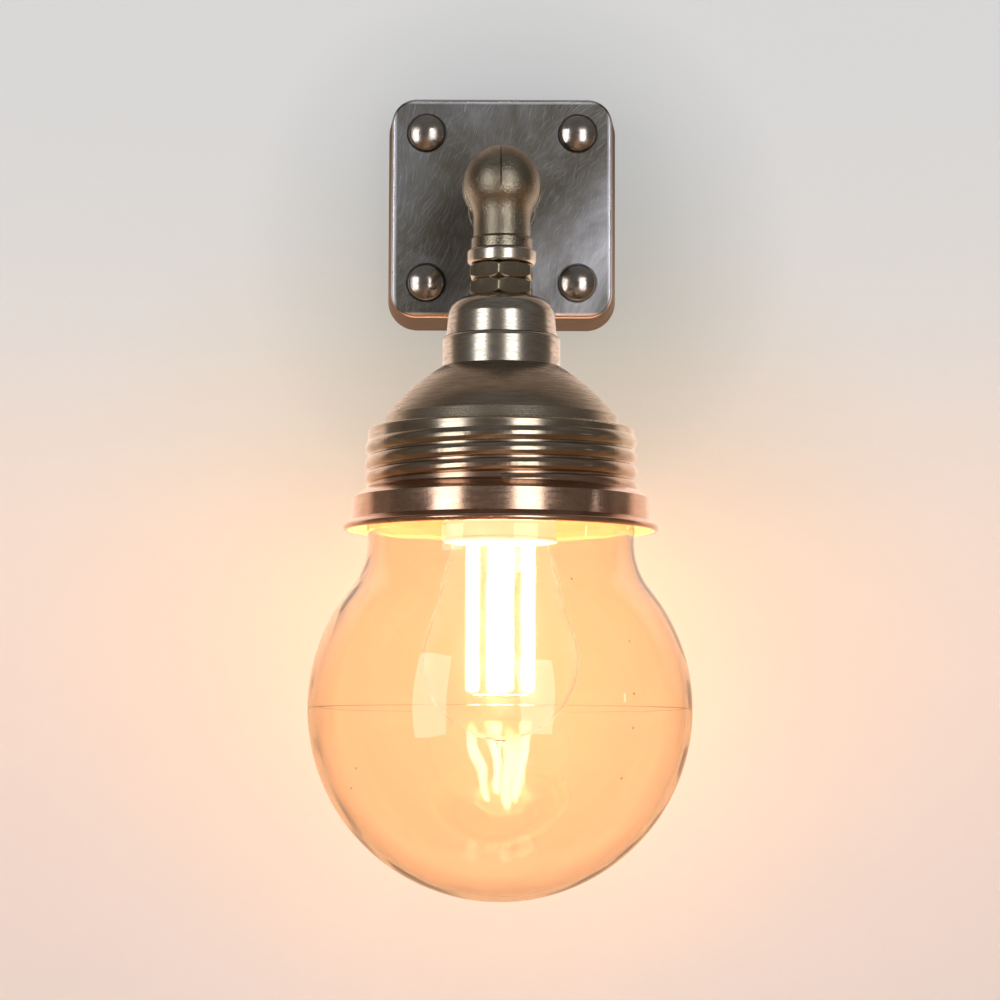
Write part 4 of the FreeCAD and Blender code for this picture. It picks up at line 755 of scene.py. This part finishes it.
def coil_springs():
    """The plungers' two springs, wound as helixes, which close up as the bulb is pressed in."""
    low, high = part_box("plunger_springs")
    radius = (high.y - low.y) / 2 - SPRING_WIRE
    beside = high.x - radius - SPRING_WIRE
    length = high.z - low.z
    pitch = (length - 2 * SPRING_WIRE) / SPRING_TURNS
    coils = []
    for side in (-1, 1):
        coil = wound(SPRING_WIRE, radius, pitch, SPRING_TURNS, 10)
        coil.location = (side * beside, lamp_axis.y, low.z + SPRING_WIRE)
        coils.append(coil)
    springs = settled(joined(coils, "coil_springs"), spring_steel, smooth=60.0)
    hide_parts("plunger_springs")
    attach(springs, "wall_bracket")
    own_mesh(springs)


coil_springs()


# Bulb: a clear pear of thin glass on a bayonet cap, with four light-emitting rods on wires round
# a glass stem. The rods glow so bright that they show white.

cap_metal = plated("cap_aluminium", (0.72, 0.72, 0.71), (0.58, 0.57, 0.55), 0.30)
solder = plated("solder", (0.62, 0.62, 0.62), (0.42, 0.42, 0.43), 0.38, 600.0)
lead_wire = plated("lead_wire", (0.62, 0.58, 0.52), (0.45, 0.41, 0.35), 0.28, 500.0)
circuit_board = moulded("circuit_board", (0.05, 0.16, 0.08), (0.09, 0.20, 0.11), 0.40)
dress(cap_metal, "bulb_cap")
dress(solder, "cap_contacts")
dress(black_moulding, "cap_disc")
dress(circuit_board, "driver_board")
dress(bulb_envelope, "bulb_glass", "bulb_stem")
dress(lead_wire, "filament_leads")


ROD_GLOW = (1.0, 0.86, 0.60, 1.0)
ROD_END_GLOW = (1.0, 0.62, 0.25, 1.0)
ROD_STRENGTH = 220.0


def make_rod_glow():
    """Phosphor that glows evenly, a little yellower towards the rods' ends."""
    made, tree, shader, place = finish("glowing_rods", (1.0, 0.83, 0.42), 0.5)
    level = add(tree, "SeparateXYZ", {0: place}).outputs["Z"]
    low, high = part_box("filaments")
    length = high.z - low.z
    from_middle = sums(tree, "ABSOLUTE", sums(tree, "SUBTRACT", level, (low.z + high.z) / 2))
    ends = spread(tree, from_middle, length * 0.42, length * 0.5)
    grains = use(tree, skin, Vector=place, Grain=900.0)["Height"]
    glow = tinted(tree, ends, ROD_GLOW, ROD_END_GLOW)
    feed(tree, shader, Emission_Color=glow, Normal=raised(tree, grains, 0.00005))
    shader.inputs["Emission Strength"].default_value = ROD_STRENGTH
    return made


ROD_RADIUS = 0.0023
ROD_RING = 0.0108
ROD_TURN = math.radians(14.0)


def make_rods():
    """Four rods of phosphor over their light-emitting chips, in a ring round the stem."""
    low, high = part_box("filaments")
    middle = Vector((0.0, lamp_axis.y, (low.z + high.z) / 2))
    pieces = []
    for quarter in range(4):
        angle = ROD_TURN + quarter * math.pi / 2
        foot = middle + Vector((math.cos(angle), math.sin(angle), 0.0)) * ROD_RING
        rod = cylinder(foot, ROD_RADIUS, high.z - low.z, 24)
        applied(rod, "BEVEL", width=ROD_RADIUS * 0.6, segments=3, limit_method="ANGLE")
        pieces.append(rod)
    rods = settled(joined(pieces, "phosphor_rods"), make_rod_glow(), smooth=50.0)
    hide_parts("filaments")
    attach(rods, "bulb")
    rods.visible_diffuse = False


make_rods()
# clear glass hardly shades the wall, so its shadow is left out
for name in ("globe", "bulb_glass", "bulb_stem"):
    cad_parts[name].visible_shadow = False


# Connections inside the plate: a white block with brass ways and screws, an earth lug, and
# three insulated wires, of which two run through the arm to the lampholder.

dress(white_moulding, "terminal_block")
dress(brass, "clamp_screws", "earth_lug", "earth_screw")
dress(moulded("brown_insulation", (0.17, 0.07, 0.03), (0.22, 0.11, 0.06), 0.38), "live_wire")
dress(moulded("blue_insulation", (0.03, 0.12, 0.42), (0.07, 0.18, 0.46), 0.38), "neutral_wire")
dress(moulded("green_insulation", (0.06, 0.30, 0.08), (0.30, 0.36, 0.06), 0.38), "earth_wire")


# Studio: a pale wall behind the plate and a pale floor far below it, two tall soft lights and a
# small far lamp in front, and the light that the bulb itself gives. The wall's paint holds the
# glow that the bulb leaves on it.

WALL_COLOURS = [
    (0.10, (0.76, 0.62, 0.56)),
    (0.33, (0.87, 0.67, 0.57)),
    (0.51, (0.85, 0.685, 0.59)),
    (0.67, (0.715, 0.675, 0.645)),
    (0.88, (0.665, 0.665, 0.665)),
]
FLOOR_COLOURS = [(0.0, (0.84, 0.66, 0.54)), (1.0, (0.84, 0.66, 0.54))]
MATT = (0.22, 0.22, 0.22, 1.0)
# what glass shows of the stage behind it, with the bulb's warm glow painted in
THROUGH_GLASS = (0.90, 0.50, 0.27, 1.0)
# the warm patch round the globe and the shade beside the plate: middle, reach and colour
WARM_PATCH = ((0.0, 0.0, -0.155), (0.06, 0.19), (1.0, 0.955, 0.84, 1.0))
PLATE_SHADE = ((0.007, 0.0, -0.010), (0.045, 0.115), (0.76, 0.785, 0.785, 1.0))
# what metal mirrors of the stage, low and high: near the lamp, where the bulb lights it, and far
LIT_LEVELS = (-0.20, -0.08)
LIT_LOW = (0.80, 0.50, 0.31, 1.0)
LIT_HIGH = (1.62, 1.28, 1.08, 1.0)
FAR_LEVELS = (-0.25, -0.10)
FAR_LOW = (0.34, 0.20, 0.11, 1.0)
FAR_HIGH = (0.12, 0.10, 0.08, 1.0)
LIT_ACROSS = (0.20, 0.29)
LIT_UP = (-0.045, 0.06)


def backdrop(name, colours, reach, glow):
    """A pale matt surface whose colour changes with height, for the stage. It has no back."""
    made, tree, shader, place = finish(name, (1.0, 1.0, 1.0), 1.0, **{"Specular IOR Level": 0.0})
    level = add(tree, "SeparateXYZ", {0: place}).outputs["Z"]
    ramp = add(tree, "ValToRGB", {"Fac": spread(tree, level, *reach)})
    ramp.color_ramp.interpolation = "B_SPLINE"
    stops = ramp.color_ramp.elements
    for index, (spot, colour) in enumerate(colours):
        stop = stops[index] if index < 2 else stops.new(spot)
        stop.position = spot
        stop.color = (*colour, 1.0)
    paint = ramp.outputs[0]
    for middle, fade, colour in (WARM_PATCH, PLATE_SHADE):
        away = add(tree, "VectorMath", {0: place, 1: middle}, operation="DISTANCE").outputs["Value"]
        paint = tinted(tree, spread(tree, away, *fade, 1.0, 0.0), paint, colour, "MULTIPLY")
    rays = add(tree, "LightPath")
    across = sums(tree, "ABSOLUTE", add(tree, "SeparateXYZ", {0: place}).outputs["X"])
    near = spread(tree, across, *LIT_ACROSS, 1.0, 0.10)
    near = sums(tree, "MULTIPLY", near, spread(tree, level, *LIT_UP, 1.0, 0.22))
    lit = tinted(tree, spread(tree, level, *LIT_LEVELS), LIT_LOW, LIT_HIGH)
    far = tinted(tree, spread(tree, level, *FAR_LEVELS), FAR_LOW, FAR_HIGH)
    mirrored = tinted(tree, near, far, lit)
    seen = tinted(tree, rays.outputs["Is Glossy Ray"], paint, mirrored)
    seen = tinted(tree, rays.outputs["Is Transmission Ray"], seen, THROUGH_GLASS)
    feed(tree, shader, Base_Color=tinted(tree, 1.0, seen, MATT, "MULTIPLY"), Emission_Color=seen)
    shader.inputs["Emission Strength"].default_value = glow
    clear = add(tree, "BsdfTransparent")
    behind = add(tree, "NewGeometry").outputs["Backfacing"]
    mix = add(tree, "MixShader", {0: behind, 1: shader.outputs[0], 2: clear.outputs[0]})
    out = next(n for n in tree.nodes if n.type == "OUTPUT_MATERIAL")
    tree.links.new(mix.outputs[0], out.inputs[0])
    return made


def sheet_at(name, size, place, turn, made):
    """A flat square of the stage."""
    bpy.ops.mesh.primitive_plane_add(size=size, location=place, rotation=turn)
    flat = bpy.context.object
    flat.name = name
    flat.data.materials.append(made)
    bpy.ops.object.transform_apply(location=True, rotation=True, scale=True)
    flat.select_set(False)


wall_paint = backdrop("wall_paint", WALL_COLOURS, (-0.34, 0.10), 0.84)
sheet_at("wall", 6.0, (0.0, 0.0006, 0.0), (math.pi / 2, 0.0, 0.0), wall_paint)
floor_paint = backdrop("floor_paint", FLOOR_COLOURS, (-1.0, 0.0), 0.55)
sheet_at("floor", 8.0, (0.0, 0.0, -0.80), (0.0, 0.0, 0.0), floor_paint)

LIGHT_DISTANCE = 2.2
WINDOW_LEVEL = 0.06
WINDOW_SIZE = (0.80, 1.70)
WINDOW_POWER = 18.0


def soft_light(name, azimuth, level, size, power):
    """A rectangular light that faces the lamp head, from an azimuth and a level."""
    light = bpy.data.lights.new(name, "AREA")
    light.shape = "RECTANGLE"
    light.size, light.size_y = size
    light.energy = power
    held = bpy.data.objects.new(name, light)
    angle = math.radians(azimuth)
    held.location = (math.sin(angle) * LIGHT_DISTANCE, -math.cos(angle) * LIGHT_DISTANCE, level)
    target = Vector((0.0, lamp_axis.y, level))
    held.rotation_euler = (target - held.location).to_track_quat("-Z", "Y").to_euler()
    held.visible_camera = False
    held.visible_transmission = False
    bpy.context.scene.collection.objects.link(held)


soft_light("right_light", 20.0, WINDOW_LEVEL, WINDOW_SIZE, WINDOW_POWER)
soft_light("left_light", -40.0, WINDOW_LEVEL, WINDOW_SIZE, WINDOW_POWER)
soft_light("far_lamp", 75.0, -0.03, (0.07, 0.14), 0.15)

ROD_LIGHT_POWER = 0.22
ROD_LIGHT_COLOUR = (1.0, 0.62, 0.27)
ROD_LIGHT_RADIUS = 0.008


def bulb_light(level):
    """A share of the warm light that the rods give, as a small round light inside the bulb."""
    light = bpy.data.lights.new("rod_light", "POINT")
    light.energy = ROD_LIGHT_POWER
    light.color = ROD_LIGHT_COLOUR
    light.shadow_soft_size = ROD_LIGHT_RADIUS
    held = bpy.data.objects.new("rod_light", light)
    held.location = (0.0, lamp_axis.y, level)
    held.visible_camera = False
    held.visible_transmission = False
    bpy.context.scene.collection.objects.link(held)


rods_low, rods_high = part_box("filaments")
for share in (0.15, 0.5, 0.85):
    bulb_light(rods_low.z + (rods_high.z - rods_low.z) * share)


AIR_BELOW = (0.42, 0.27, 0.18, 1.0)
AIR_LEVEL = (0.145, 0.123, 0.10, 1.0)
AIR_ABOVE = (0.24, 0.235, 0.235, 1.0)
AIR_PALE = (0.80, 0.78, 0.77, 1.0)
AIR_WARM = (0.80, 0.54, 0.34, 1.0)


def make_world():
    """Dim air in front of the lamp, pale to the camera and warm where glass shows it."""
    world = bpy.data.worlds.new("studio_air")
    world.use_nodes = True
    bpy.context.scene.world = world
    tree = world.node_tree
    tree.nodes.clear()
    heading = add(tree, "SeparateXYZ", {0: add(tree, "TexCoord").outputs["Generated"]})
    ramp = add(tree, "ValToRGB", {"Fac": spread(tree, heading.outputs["Z"], -1.0, 1.0)})
    stops = ramp.color_ramp.elements
    stops[0].position, stops[0].color = 0.0, AIR_BELOW
    stops[1].position, stops[1].color = 1.0, AIR_ABOVE
    middle = stops.new(0.5)
    middle.color = AIR_LEVEL
    room = add(tree, "Background", {"Color": ramp.outputs[0], "Strength": 1.0})
    pale = add(tree, "Background", {"Color": AIR_PALE, "Strength": 1.0})
    warm = add(tree, "Background", {"Color": AIR_WARM, "Strength": 1.0})
    rays = add(tree, "LightPath").outputs
    seen = room
    for ray, other in (("Is Camera Ray", pale), ("Is Transmission Ray", warm)):
        seen = add(tree, "MixShader", {0: rays[ray], 1: seen.outputs[0], 2: other.outputs[0]})
    tree.links.new(seen.outputs[0], add(tree, "OutputWorld").inputs[0])


make_world()

CAMERA_LENS = 115.2
CAMERA_PLACE = (-0.00033, -1.302, -0.2259)
CAMERA_PITCH = 4.82
CAMERA_ROLL = 0.22
camera = bpy.data.objects.new("camera", bpy.data.cameras.new("camera"))
camera.data.lens = CAMERA_LENS
camera.data.sensor_width = 36.0
camera.location = CAMERA_PLACE
camera.rotation_mode = "ZYX"
camera.rotation_euler = (math.radians(90.0 + CAMERA_PITCH), 0.0, math.radians(CAMERA_ROLL))
bpy.context.scene.collection.objects.link(camera)
bpy.context.scene.camera = camera
bpy.context.scene.view_settings.view_transform = "Standard"
